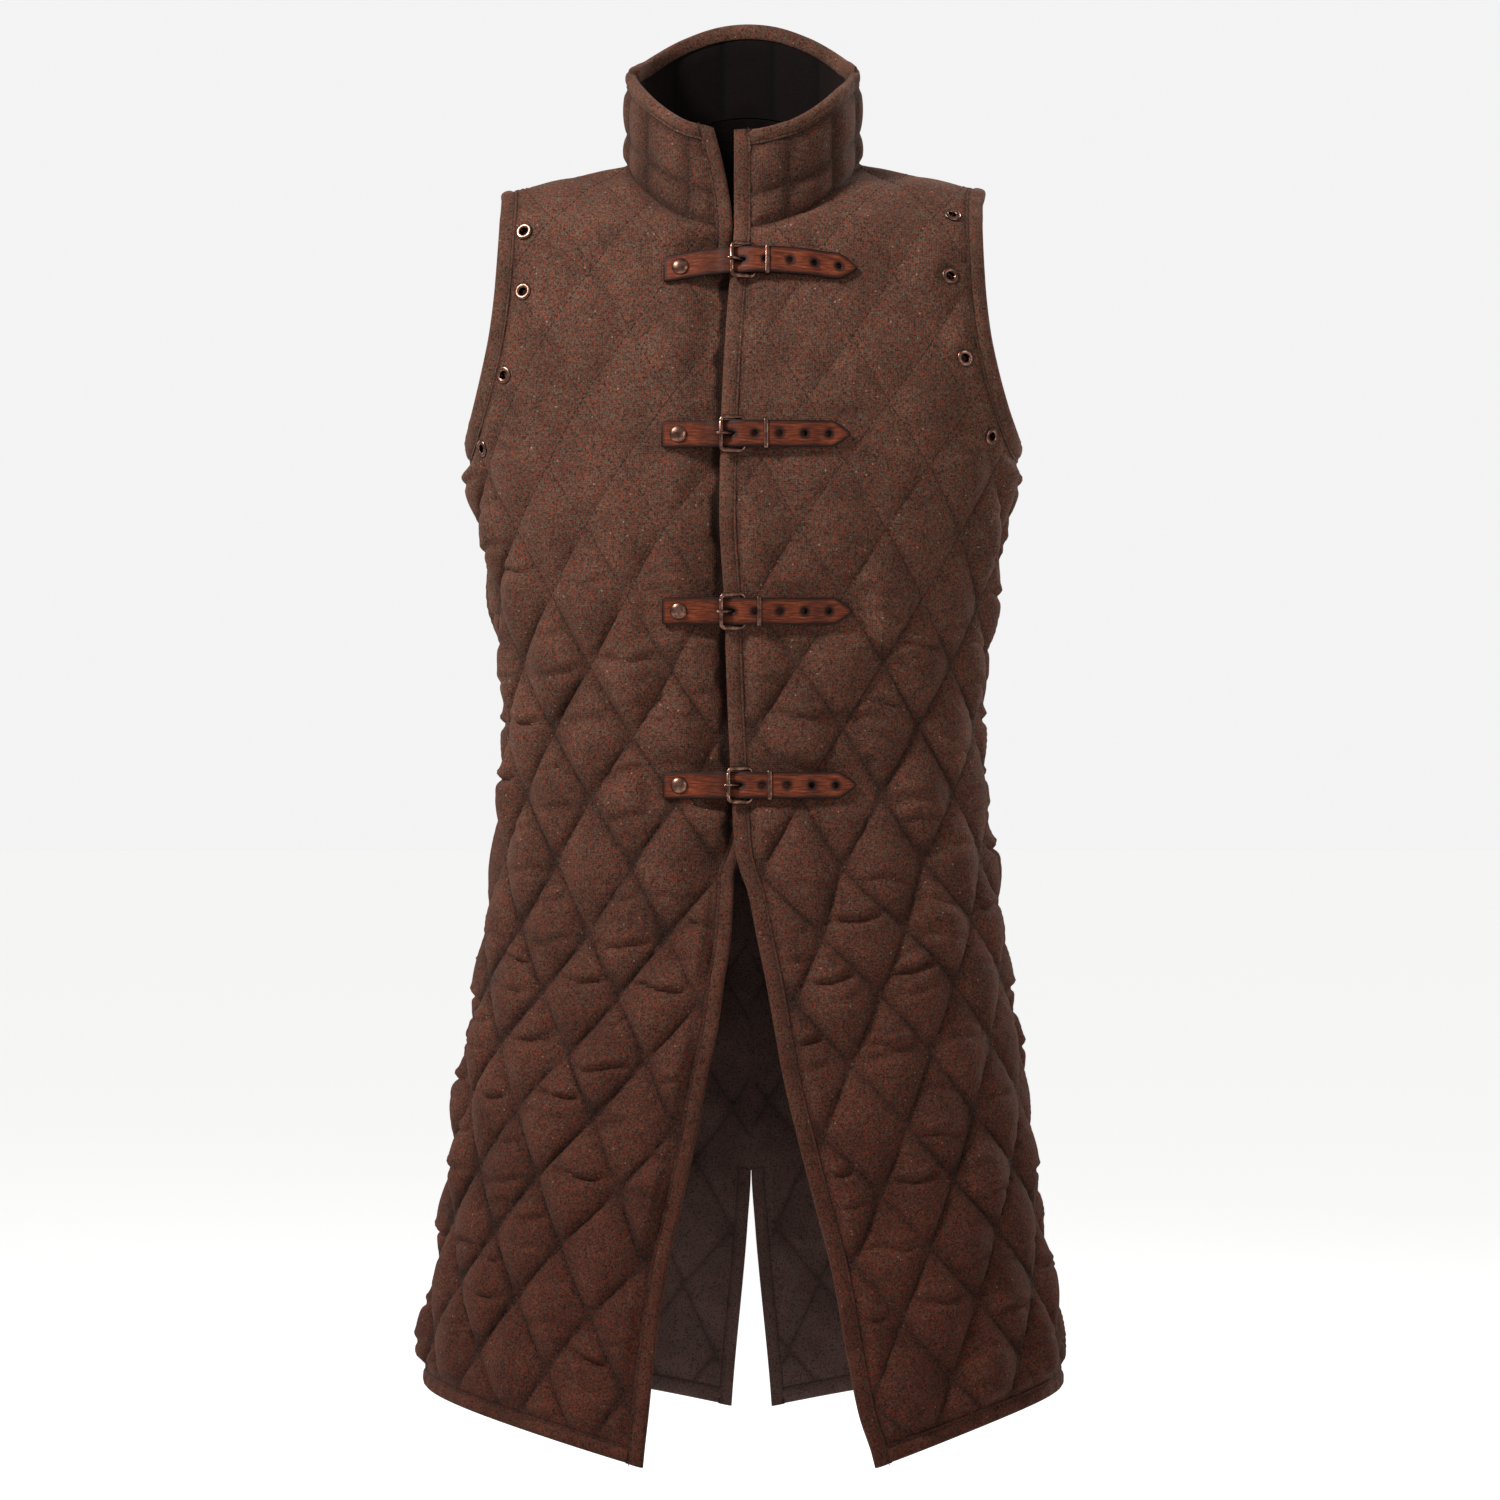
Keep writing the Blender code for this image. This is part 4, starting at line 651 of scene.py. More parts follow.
def finish_mesh(name, points, faces, paints, slots=None, cloth=None, smooth_angle=60.0):
    """Make an object from points in millimetres, with its materials and its flat coordinates."""
    mesh = bpy.data.meshes.new(name)
    mesh.from_pydata(np.asarray(points, dtype=float) * MM, [], [list(face) for face in faces])
    if cloth is not None:
        layer = mesh.attributes.new("cloth", "FLOAT_VECTOR", "POINT")
        layer.data.foreach_set("vector", np.asarray(cloth, dtype=np.float32).ravel())
    for paint in paints:
        mesh.materials.append(paint)
    if slots is not None:
        mesh.polygons.foreach_set("material_index", np.asarray(slots, dtype=np.int32))
    mesh.shade_smooth()
    mesh.set_sharp_from_angle(angle=math.radians(smooth_angle))
    mesh.update()
    return link_new(name, mesh)


def close_up(thing):
    """Turn all faces outwards."""
    work = bmesh.new()
    work.from_mesh(thing.data)
    bmesh.ops.recalc_face_normals(work, faces=work.faces[:])
    work.to_mesh(thing.data)
    work.free()
    return thing


def wear(thing, slot, *nodes):
    """Fix a finished piece to the coat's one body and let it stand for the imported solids."""
    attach(thing, "root")
    if nodes:
        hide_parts(*nodes)
    print(f"{thing.name}: {len(thing.data.polygons)} faces")
    return thing


def skin_area(points, faces):
    """Area of a flat skin in square metres."""
    a, b, c = (points[faces[:, corner]] for corner in range(3))
    doubled = (b - a)[:, 0] * (c - a)[:, 1] - (b - a)[:, 1] * (c - a)[:, 0]
    return float(np.abs(doubled).sum() / 2 * MM * MM)


print("mesh helpers are ready")

# %% [markdown]
# ## Node materials
#
# One function turns a hex colour into the linear values that Blender works with, and one adds a node
# with its settings and links. Two more do what most of the materials need: darken a colour by a pattern,
# and join the colour and the bump to the shader. A number that is the same all over a surface goes
# straight on the shader's own socket.

# %% Node materials
BLEND = {"data_type": "RGBA", "blend_type": "MIX"}
MULTIPLY = {"data_type": "RGBA", "blend_type": "MULTIPLY"}


def linear(colour):
    """Linear RGBA of an sRGB hex colour."""
    channels = [int(colour[place:place + 2], 16) / 255 for place in (1, 3, 5)]
    return tuple(c / 12.92 if c <= 0.04045 else ((c + 0.055) / 1.055) ** 2.4 for c in channels) + (1.0,)


def add(tree, kind, settings=None, **inputs):
    """Add a node. Settings are its properties or a ramp's stops, inputs are values or sockets."""
    node = tree.nodes.new(kind)
    for key, value in (settings or {}).items():
        if key != "stops":
            setattr(node, key, value)
            continue
        elements = node.color_ramp.elements
        while len(elements) < len(value):
            elements.new(0.5)
        for element, (place, colour) in zip(elements, value):
            element.position = place
            element.color = linear(colour) if isinstance(colour, str) else (colour, colour, colour, 1.0)
    for key, value in inputs.items():
        socket = node.inputs[int(key[1:])] if key[1:].isdigit() else node.inputs[key.replace("_", " ")]
        if isinstance(value, bpy.types.NodeSocket):
            tree.links.new(value, socket)
        else:
            socket.default_value = value
    return node


def start_paint(name, **shader):
    """A material with an output and a Principled shader, whose constant values are given."""
    paint = bpy.data.materials.new(name)
    paint.use_nodes = True
    tree = paint.node_tree
    tree.nodes.clear()
    principled = add(tree, "ShaderNodeBsdfPrincipled", **shader)
    add(tree, "ShaderNodeOutputMaterial", Surface=principled.outputs["BSDF"])
    return paint, tree, principled


def shade_by(tree, colour, source, stops):
    """Multiply a colour by the brightness that a ramp gives for a source."""
    ramp = add(tree, "ShaderNodeValToRGB", {"stops": stops}, Fac=source).outputs["Color"]
    return add(tree, "ShaderNodeMix", MULTIPLY, i0=1.0, i6=colour, i7=ramp).outputs[2]


def give_surface(tree, shader, colour, relief, strength, deep):
    """Give a shader its colour, and a bump whose relief is so many millimetres deep."""
    tree.links.new(colour, shader.inputs["Base Color"])
    bump = add(tree, "ShaderNodeBump", Strength=strength, Distance=deep * MM, Height=relief)
    tree.links.new(bump.outputs["Normal"], shader.inputs["Normal"])


print("material helpers are ready")

# %% [markdown]
# ## Wool tweed
#
# The cloth is a coarse woollen tweed. Its yarn is spun from fibres that were dyed before spinning, so
# from a step away it is a greyish brown, and close up it has flecks of rust, dark brown and olive grey,
# and now and then a pale nep. Loose fibres stand off it, which gives wool its soft sheen. The
# real yarns are about 0.8 mm apart, and that is drawn at 1.3 mm here because a finer one is lost in the
# picture. A reddish wash, multiplied in from one height to another, makes the cloth darker and redder in
# the skirt than at the chest. Shade is painted into the colour along the stitches, beside the edges and
# on each pillow's shaded side: the third of the flat coordinates tells how open to the light each point is.

# %% Wool tweed
FIBRE = 1.1
FLECK = 1.5
NEP = 9.0
YARN = 1.3
MOTTLE = 38.0


def tweed(name, ground, dark, rust, grey, nep, wash="#cbb0aa", span=(-0.2, -0.8)):
    """Tweed with fibres of four colours on its ground, washed darker from one height to another."""
    paint, tree, shader = start_paint(
        name, Roughness=0.95, Sheen_Weight=0.12, Sheen_Roughness=0.5, Sheen_Tint=linear("#a08878"),
        Specular_IOR_Level=0.15)
    place = add(tree, "ShaderNodeTexCoord").outputs["Object"]
    cloth = add(tree, "ShaderNodeAttribute", {"attribute_name": "cloth"}).outputs["Vector"]
    colour = linear(ground)
    fibre = add(tree, "ShaderNodeTexNoise", Vector=place, Scale=1000 / FIBRE, Detail=2.0,
                Roughness=0.75).outputs["Fac"]
    layers = (
        (place, FLECK * 1.3, ((0.5, 0.0), (0.64, 0.78)), rust),
        (cloth, FLECK, ((0.5, 0.0), (0.63, 0.72)), grey),
        (place, FLECK * 0.9, ((0.34, 0.8), (0.48, 0.0)), dark),
    )
    for source, size, stops, tint in layers:
        scale = 1 / size if source is cloth else 1000 / size
        speckle = add(tree, "ShaderNodeTexNoise", Vector=source, Scale=scale, Detail=1.0).outputs["Fac"]
        amount = add(tree, "ShaderNodeValToRGB", {"stops": stops}, Fac=speckle).outputs["Color"]
        colour = add(tree, "ShaderNodeMix", BLEND, i0=amount, i6=colour, i7=linear(tint)).outputs[2]
    neps = add(tree, "ShaderNodeTexVoronoi", Vector=place, Scale=1000 / NEP, Randomness=1.0)
    pale = add(tree, "ShaderNodeValToRGB", {"stops": ((0.05, 0.55), (0.09, 0.0))},
               Fac=neps.outputs["Distance"]).outputs["Color"]
    colour = add(tree, "ShaderNodeMix", BLEND, i0=pale, i6=colour, i7=linear(nep)).outputs[2]
    cloud = add(tree, "ShaderNodeTexNoise", Vector=place, Scale=1000 / MOTTLE, Detail=4.0,
                Roughness=0.6).outputs["Fac"]
    colour = shade_by(tree, colour, cloud, ((0.3, 0.68), (0.7, 1.2)))
    height = add(tree, "ShaderNodeSeparateXYZ", Vector=place).outputs["Z"]
    share = add(tree, "ShaderNodeMapRange", Value=height, From_Min=span[0],
                From_Max=span[1]).outputs["Result"]
    colour = add(tree, "ShaderNodeMix", MULTIPLY, i0=share, i6=colour, i7=linear(wash)).outputs[2]
    # painted shade: the colour is darkened where the third flat coordinate says little light reaches
    pillow = add(tree, "ShaderNodeSeparateXYZ", Vector=cloth).outputs["Z"]
    colour = shade_by(tree, colour, pillow, ((0.0, 0.24), (0.14, 0.44), (0.34, 0.84), (0.64, 1.0)))

    relief = fibre
    for direction in ("X", "Y"):
        yarns = add(tree, "ShaderNodeTexWave", {"wave_type": "BANDS", "bands_direction": direction},
                    Vector=cloth, Scale=math.tau / 20 / YARN, Distortion=1.6, Detail=1.0, Detail_Scale=0.4)
        relief = add(tree, "ShaderNodeMath", {"operation": "MULTIPLY_ADD"},
                     i0=yarns.outputs["Fac"], i1=0.3, i2=relief).outputs[0]
    give_surface(tree, shader, colour, relief, 0.5, 0.8)
    return paint


panel_tweed = tweed("quilted_wool_tweed", "#57392e", "#2c1b15", "#843c28", "#605747", "#b09a88")
binding_tweed = tweed("folded_binding_tweed", "#5a3b2f", "#2c1b15", "#803a28", "#5e5646", "#a89484")
# the inner skin is the same wool, painted darker as shade; its wash paints it darker still towards the top,
# inside the collar
shaded_inner_wool = tweed("inner_wool_dark", "#5a4540", "#322522", "#633f38", "#564a45", "#6a5c57",
               wash="#3c3634", span=(-0.75, -0.1))
print("cloth materials:", panel_tweed.name, binding_tweed.name, shaded_inner_wool.name)

# %% [markdown]
# ## Thread, leather and antique brass
#
# The thread is waxed linen, darker than the cloth. The straps are vegetable-tanned cowhide, dyed
# reddish brown and waxed: fine creases run along them, and their cut edges and the rims of the holes
# are burnished nearly black. Shade is painted into them under and beside the buckle, which shades
# them, and they are lighter at the tips. The eyelets, rivets and buckles are antiqued copper-plated
# brass: a dark film that has worn off in cloudy patches.

# %% Thread, leather and antique brass
# How often each pattern comes in a metre: the thread's ply every 1.1 mm, the leather's pores every
# 1.25 mm and its clouds every 18 mm, and the patches of the brass's film every 4 mm. Real ply and pores
# are finer, and these are as fine as the picture can show.
PLY_A_METRE = 900.0
PORES_A_METRE = 800.0
CLOUDS_A_METRE = 55.0
FILM_A_METRE = 260.0

# the grain's creases are about 12 mm long along the strap and 1.25 mm apart across it
GRAIN_STRETCH = (0.08, 0.8, 0.0)

# distance from a cut edge, in millimetres, where the burnish starts and where it is full
BURNISH = (3.2, 0.6)

# share of the way along the strap, brightness there: shade is painted in under the buckle, and the tip is
# lighter
STRAP_SHADE_ALONG = ((0.0, 1.0), (0.16, 0.95), (0.31, 0.42), (0.38, 1.0), (0.5, 0.85), (0.9, 0.95), (1.0, 1.25))


def linen_thread():
    """Waxed linen thread, with fine light and dark turns of its ply."""
    paint, tree, shader = start_paint("waxed_linen_thread", Roughness=0.7, Specular_IOR_Level=0.3)
    place = add(tree, "ShaderNodeTexCoord").outputs["Object"]
    ply = add(tree, "ShaderNodeTexNoise", Vector=place, Scale=PLY_A_METRE, Detail=1.0).outputs["Fac"]
    colour = add(tree, "ShaderNodeValToRGB", {"stops": ((0.3, "#20140f"), (0.7, "#3c2a22"))}, Fac=ply)
    tree.links.new(colour.outputs["Color"], shader.inputs["Base Color"])
    return paint


def strap_leather():
    """Waxed reddish cowhide. Its attribute holds the distance from a cut edge in millimetres."""
    paint, tree, shader = start_paint("waxed_cowhide", Specular_IOR_Level=0.18)
    place = add(tree, "ShaderNodeTexCoord").outputs["Object"]
    flat = add(tree, "ShaderNodeAttribute", {"attribute_name": "cloth"}).outputs["Vector"]
    edge = add(tree, "ShaderNodeSeparateXYZ", Vector=flat).outputs["Z"]
    stretched = add(tree, "ShaderNodeMapping", Vector=flat, Scale=GRAIN_STRETCH).outputs["Vector"]
    grain = add(tree, "ShaderNodeTexNoise", Vector=stretched, Scale=1.0, Detail=5.0, Roughness=0.68)
    pores = add(tree, "ShaderNodeTexNoise", Vector=place, Scale=PORES_A_METRE, Detail=3.0).outputs["Fac"]
    cloud = add(tree, "ShaderNodeTexNoise", Vector=place, Scale=CLOUDS_A_METRE, Detail=3.0).outputs["Fac"]
    colour = add(tree, "ShaderNodeValToRGB",
                 {"stops": ((0.3, "#35140a"), (0.46, "#632a16"), (0.6, "#823f24"), (0.74, "#a8643e"))},
                 Fac=grain.outputs["Fac"]).outputs["Color"]
    colour = shade_by(tree, colour, cloud, ((0.3, 0.66), (0.7, 1.14)))
    # painted shade along the strap, darkest under the buckle
    along = add(tree, "ShaderNodeSeparateXYZ", Vector=flat).outputs["X"]
    along = add(tree, "ShaderNodeMapRange", Value=along, From_Min=STRAP_START,
                From_Max=STRAP_FARTHEST).outputs["Result"]
    colour = shade_by(tree, colour, along, STRAP_SHADE_ALONG)
    burnish = add(tree, "ShaderNodeMapRange", Value=edge, From_Min=BURNISH[0],
                  From_Max=BURNISH[1]).outputs["Result"]
    colour = add(tree, "ShaderNodeMix", BLEND, i0=burnish, i6=colour, i7=linear("#1d0c07")).outputs[2]
    gloss = add(tree, "ShaderNodeMapRange", Value=pores, To_Min=0.46, To_Max=0.68).outputs["Result"]
    tree.links.new(gloss, shader.inputs["Roughness"])
    height = add(tree, "ShaderNodeMath", {"operation": "MULTIPLY_ADD"},
                 i0=grain.outputs["Fac"], i1=0.9, i2=pores).outputs[0]
    give_surface(tree, shader, colour, height, 0.4, 0.4)
    return paint


def antique_brass():
    """Antiqued brass: a dark film, worn to a coppery metal in cloudy patches."""
    paint, tree, shader = start_paint("antiqued_coppery_brass", Metallic=1.0)
    place = add(tree, "ShaderNodeTexCoord").outputs["Object"]
    film = add(tree, "ShaderNodeTexNoise", Vector=place, Scale=FILM_A_METRE, Detail=5.0,
               Roughness=0.65).outputs["Fac"]
    colour = add(tree, "ShaderNodeValToRGB",
                 {"stops": ((0.3, "#46302a"), (0.5, "#7c594b"), (0.68, "#b08674"))}, Fac=film)
    gloss = add(tree, "ShaderNodeMapRange", Value=film, From_Min=0.3, From_Max=0.7, To_Min=0.42,
                To_Max=0.22).outputs["Result"]
    tree.links.new(gloss, shader.inputs["Roughness"])
    give_surface(tree, shader, colour.outputs["Color"], film, 0.25, 0.2)
    return paint


thread = linen_thread()
leather = strap_leather()
brass = antique_brass()
print("other materials:", thread.name, leather.name, brass.name)

# %% [markdown]
# ## The quilting's relief
#
# Two families of slanted stitch lines cross, and the wadding swells in the diamonds between them. The
# swelling is sharp at the stitches and round in the middle. It is shallow over the chest, where the cloth
# is pulled tight, and deep at the sides and in the skirt, where it hangs free. No two diamonds hold
# quite the same wadding, so each gets its own height, and the slack cloth in many of them folds into
# one or two short creases that lie level, because the coat hangs.

# %% The quilting's relief
VALLEY = 0.4
SHADE_CHEST = 0.36
SHADE_EDGE = 9.0
CHEST_PUFF = 2.6
LOOSE_PUFF = 8.2
PILLOW_POWER = 0.66
UNEVEN = 0.34
DRIFT = 3.2
CREASE_DEPTH = 2.0
WRINKLE_DEPTH = 5.0
WRINKLE_WIDE = 2.6
WRINKLE_WAVE = 2.2
PUCKER_PITCH = 11.0
PUCKER_RUN = 56.7
PUCKER_DEPTH = 0.6
SHADE_UNEVEN = 0.26
LEAN = 0.16
LAP_SHADE_WIDE = 5.0
LAP_SHADE_SOFT = 3.5
LAP_SHADE_TOP = -70
LAP_SHADE_END = -570
LOOSE_START = -190.0
LOOSE_FALL = 230.0
SIDE_LOOSE_START = -150.0
SIDE_LOOSE_FALL = 110.0
BACK_LOOSE = 0.25
EDGE_CALM = 1.5
EDGE_FULL = 10.0
CLOSURE_BAND = 13.0
CLOSURE_FADE = 11.0
CLOSURE_PAST = 8.0
CLOSURE_PAST_FADE = 14.0

# a diamond's two wrinkles: number, height above the diamond's middle, strength
WRINKLES = ((1, 16, 1.0), (2, -10, 0.7))

# x and z as seen from the front, half length, depth, tilt in degrees: creases that show most
CREASES = (
    (-105, -372, 34, -1.6, 4), (-112, -413, 30, -1.5, -6), (-60, -398, 22, -1.1, 8),
    (80, -413, 34, -1.6, -3), (118, -372, 26, -1.2, 5), (-84, -452, 24, -1.2, 3),
    (122, -470, 30, -1.3, -8), (-138, -520, 28, -1.4, 6), (60, -560, 26, -1.1, 4),
    (150, -560, 24, -1.2, -4), (-48, -585, 24, -1.2, -5), (-150, -640, 30, -1.4, 3),
    (110, -650, 30, -1.3, 5), (-92, -700, 26, -1.2, -4), (170, -735, 26, -1.1, 6),
    (-185, -760, 26, -1.2, -3),
)


def dice(*whole):
    """A number from 0 to 1 that depends on whole numbers alone."""
    primes = (73856093, 19349663, 83492791)
    mixed = sum(value.astype(np.int64) * prime for value, prime in zip(whole, primes))
    mixed = (mixed ^ (mixed >> 13)) * 1274126177 % 2147483647
    return (mixed % 10007) / 10007.0


def drift(panel, p, q):
    """How far the sewn rows wander from a true grid, as chalk lines sewn by hand and eye do."""
    turn = 1.7 * PANELS.index(panel)
    sideways = DRIFT * (np.sin(q / 83 + turn) + 0.5 * np.sin(p / 29 - q / 47 + 2 * turn))
    upwards = DRIFT * (np.sin(p / 61 + q / 113 + 3 * turn) + 0.5 * np.sin(q / 31 + turn))
    return sideways, upwards


def diamond_place(panel, p, q):
    """Place in the slanted grid: a whole number on either axis is a stitch line."""
    sideways, upwards = drift(panel, p, q)
    across = (p + sideways - FIRST_CORNER) / DIAMOND_HALF_WIDTH
    up = (q + upwards - CORNER_ROW) / DIAMOND_HALF_HEIGHT
    return (across + up) / 2, (across - up) / 2


def diamond_flat(panel, a, b):
    """Flat point of a place in the slanted grid."""
    straight_p = FIRST_CORNER + DIAMOND_HALF_WIDTH * (a + b)
    straight_q = CORNER_ROW + DIAMOND_HALF_HEIGHT * (a - b)
    p, q = straight_p, straight_q
    for _ in range(SETTLE_STEPS):
        sideways, upwards = drift(panel, p, q)
        p, q = straight_p - sideways, straight_q - upwards
    return p, q


def closure_line(closure, s):
    """Height of a closure's centre line at a place across the front."""
    rows = (
        (STRAP_START, closure.start_z), (closure.bar, closure.buckle_z),
        (closure.keeper, closure.buckle_z), (closure.tip, closure.tip_z),
    )
    return smooth_table(rows)(s)


def closure_press(x, tall):
    """How firmly the straps press the cloth flat: 1 under a strap, 0 away from it."""
    press = np.zeros(np.shape(x))
    for closure in CLOSURES:
        across = np.abs(tall - closure_line(closure, x))
        band = 1 - ease((across - CLOSURE_BAND) / CLOSURE_FADE)
        past = np.maximum(STRAP_START - x, x - closure.tip) - CLOSURE_PAST
        press = np.maximum(press, band * (1 - ease(past / CLOSURE_PAST_FADE)))
    return press


def looseness(panel, s, tall):
    """How freely the cloth hangs: 0 over the chest and shoulders, 1 at the sides and in the skirt."""
    share = np.abs(s) / ring_length(panel.half, air_height[panel.half](tall))
    low = ease((LOOSE_START - tall) / LOOSE_FALL)
    side = ease((share - 0.45) / 0.4) * ease((SIDE_LOOSE_START - tall) / SIDE_LOOSE_FALL)
    floor = 0.0 if panel.half == "front" else BACK_LOOSE
    return floor + (1 - floor) * np.maximum(low, side)


def crease_lift(panel, x, tall):
    """Lift of the long creases. The back has the same ones, mirrored, drawn in a little and lower."""
    lift = np.zeros(np.shape(x))
    for crease_x, crease_z, half, deep, tilt in CREASES:
        if panel.half == "back":
            crease_x, crease_z = -crease_x * 0.8, crease_z - 24
        along = x - crease_x
        drop = tall - crease_z - along * math.tan(math.radians(tilt)) - 3 * np.sin(along / 11)
        wide = 3.6 + 1.4 * np.cos(along / half * 2)
        window = ease(1.4 * (1 - np.abs(along) / half))
        lift += deep * np.exp(-(drop / wide) ** 2) * window
        lift -= 0.45 * deep * np.exp(-((drop - 8) / 5) ** 2) * window
    return lift


def quilt_lift(panel, p, q, fade):
    """Lift of the outer cloth, and how open it is to the light, from 0 deep in a valley to 1.

    The low side of a pillow lies in the pillow's own shade, so it is painted darker there.
    """
    a, b = diamond_place(panel, p, q)
    cell_a, cell_b = np.floor(a), np.floor(b)
    u, v = a - cell_a, b - cell_b
    key = np.full(p.shape, PANELS.index(panel) + 1)
    chance = [dice(cell_a + 100, cell_b + 100, key * number) for number in (1, 7, 13, 29)]
    pillow = (np.abs(np.sin(math.pi * u)) * np.abs(np.sin(math.pi * v))) ** PILLOW_POWER
    tall = panel.height(p, q)
    s = panel.swing(tall) + p
    x = s * panel.side
    loose = looseness(panel, s, tall)
    puff = CHEST_PUFF + (LOOSE_PUFF - CHEST_PUFF) * loose
    lean = 1 + LEAN * (v - u)
    lift = puff * pillow * (1 + UNEVEN * (2 * chance[0] - 1)) * lean

    up = (u - v) * DIAMOND_HALF_HEIGHT
    over = (u + v - 1) * DIAMOND_HALF_WIDTH
    window = ease(1.5 * (1 - np.abs(over) / 30)) * ease(pillow * 1.6)
    for number, centre, strength in WRINKLES:
        middle = centre + 22 * (chance[number] - 0.5) + 0.16 * over * (chance[3] - 0.5)
        drop = (up - middle - WRINKLE_WAVE * np.sin(over / 7 + 6 * chance[2])) / WRINKLE_WIDE
        deep = strength * np.maximum(0, chance[3 - number] * 1.5 - 0.3)
        lift -= WRINKLE_DEPTH * loose * deep * window * np.exp(-np.abs(drop) ** 1.6)
        lift += 0.35 * WRINKLE_DEPTH * loose * deep * window * np.exp(-(drop - 2.3) ** 2)

    for near, along in ((np.minimum(u, 1 - u), v), (np.minimum(v, 1 - v), u)):
        far = near * 2 * DIAMOND_HALF_WIDTH * 0.84
        turn = 9 * chance[1] + 5 * chance[2] * np.sin(7 * along)
        wave = np.sin(math.tau * along * PUCKER_RUN / PUCKER_PITCH + turn)
        lift += PUCKER_DEPTH * (0.35 + 0.65 * loose) * wave * np.exp(-far / 7) * ease(far / 2.5)
    lift += CREASE_DEPTH * crease_lift(panel, x, tall) * ease(pillow * 2)
    if panel.half == "front":
        fade = fade * (1 - closure_press(x, tall))
    # painted shade: darker in the valleys, most on each pillow's side away from the key lamp and where the
    # cloth hangs loose
    shadow = ease(0.5 - 0.6 * ((u - v) - 0.5 * panel.side * (u + v - 1)))
    uneven = 1 - SHADE_UNEVEN + SHADE_UNEVEN * chance[1]
    depth = (SHADE_CHEST + (1 - SHADE_CHEST) * loose) * uneven * (0.9 + 0.1 * shadow)
    return VALLEY + lift * fade, 1 - (1 - pillow ** (0.84 + 0.46 * shadow)) * depth


def lap_shade(panel, p, q):
    """How open to the light the right front is beside the left front's edge, from 0 to 1."""
    if panel.name != "front_right":
        return 1.0
    tall = panel.height(p, q)
    x = -(panel.swing(tall) + p)
    jagged = LAP_SHADE_WIDE + 1.6 * np.sin(tall / 9) + 1.2 * np.sin(tall / 4.1 + 1)
    open_air = ease((left_edge(tall) - x - jagged) / LAP_SHADE_SOFT)
    closed = ease((LAP_SHADE_TOP - tall) / 30) * ease((tall - LAP_SHADE_END) / 60)
    return 1 - (1 - open_air) * closed


print("creases placed by hand:", len(CREASES))

# %% [markdown]
# ## Quilted panels
#
# Each panel is a wall: an outer skin with the relief, an inner one with a shallower copy of it, and a
# rim between them. The points follow the slanted grid, so that a stitch line always runs along the
# edges of triangles and its valley stays crisp. The eyelet holes are cut through. Both skins are the same
# wool. The inner one is painted darker, because little light gets in.

# %% Quilted panels
EYELET_CUT = 3.6
OUTER_CELLS = 20
INNER_CELLS = 11
SEAM_LIGHT = 0.12
OUTER_CLEAR = 1.3
INNER_CLEAR = 2.0
INNER_GAP = 0.9
INNER_PUFF = 1.7
MARGIN = 10.0


def grid_reach(panel, low, high):
    """Lowest and highest place in the slanted grid for a box of the flat cloth."""
    corners = np.array([diamond_place(panel, x, y) for x in (low[0] - MARGIN, high[0] + MARGIN)
                        for y in (low[1] - MARGIN, high[1] + MARGIN)])
    return corners.min(axis=0), corners.max(axis=0)


def slanted_points(panel, low, high, cells):
    """Points of the slanted grid that cover a box of the flat cloth."""
    ranges = [np.arange(math.floor(first) * cells, math.ceil(last) * cells + 1) / cells
              for first, last in zip(*grid_reach(panel, low, high))]
    a, b = (grid.ravel() for grid in np.meshgrid(*ranges))
    p, q = diamond_flat(panel, a, b)
    keep = (p > low[0]) & (p < high[0]) & (q > low[1]) & (q < high[1])
    return np.stack((p[keep], q[keep]), axis=1)


def eyelet_flats(panel):
    """Flat point of each eyelet of a panel."""
    places = []
    for eyelet in EYELETS:
        x, z = eyelet.left_x, eyelet.left_z
        if panel.side == RIGHT:
            x, z = -eyelet.right_x, eyelet.right_z
        p, q = panel.flat_seen(np.float64(x), np.float64(z))
        places.append((float(p), float(q)))
    return places


def make_wall(name, loops, outer, inner, place_outer, place_inner, paints):
    """A wall between two skins that share their outlines. Returns it and its flat area."""
    outer_flat, outer_faces, outer_rims = triangulate(loops, outer)
    inner_flat, inner_faces, inner_rims = triangulate(loops, inner)
    outer_points, outer_cloth = place_outer(outer_flat)
    inner_points, inner_cloth = place_inner(inner_flat)
    count = len(outer_flat)
    faces = outer_faces.tolist() + (inner_faces[:, ::-1] + count).tolist()
    slots = [0] * len(outer_faces) + [1] * len(inner_faces)
    for outside, within in zip(outer_rims, inner_rims):
        # the rim faces get the inner wool's painted shade
        slots += [1] * len(outside)
        for step in range(len(outside)):
            following = (step + 1) % len(outside)
            faces.append([outside[step], within[step] + count, within[following] + count, outside[following]])
    points = np.concatenate((outer_points, inner_points))
    cloth = np.concatenate((outer_cloth, inner_cloth))
    thing = finish_mesh(name, points, faces, paints, slots, cloth)
    return close_up(thing), skin_area(outer_flat, outer_faces)


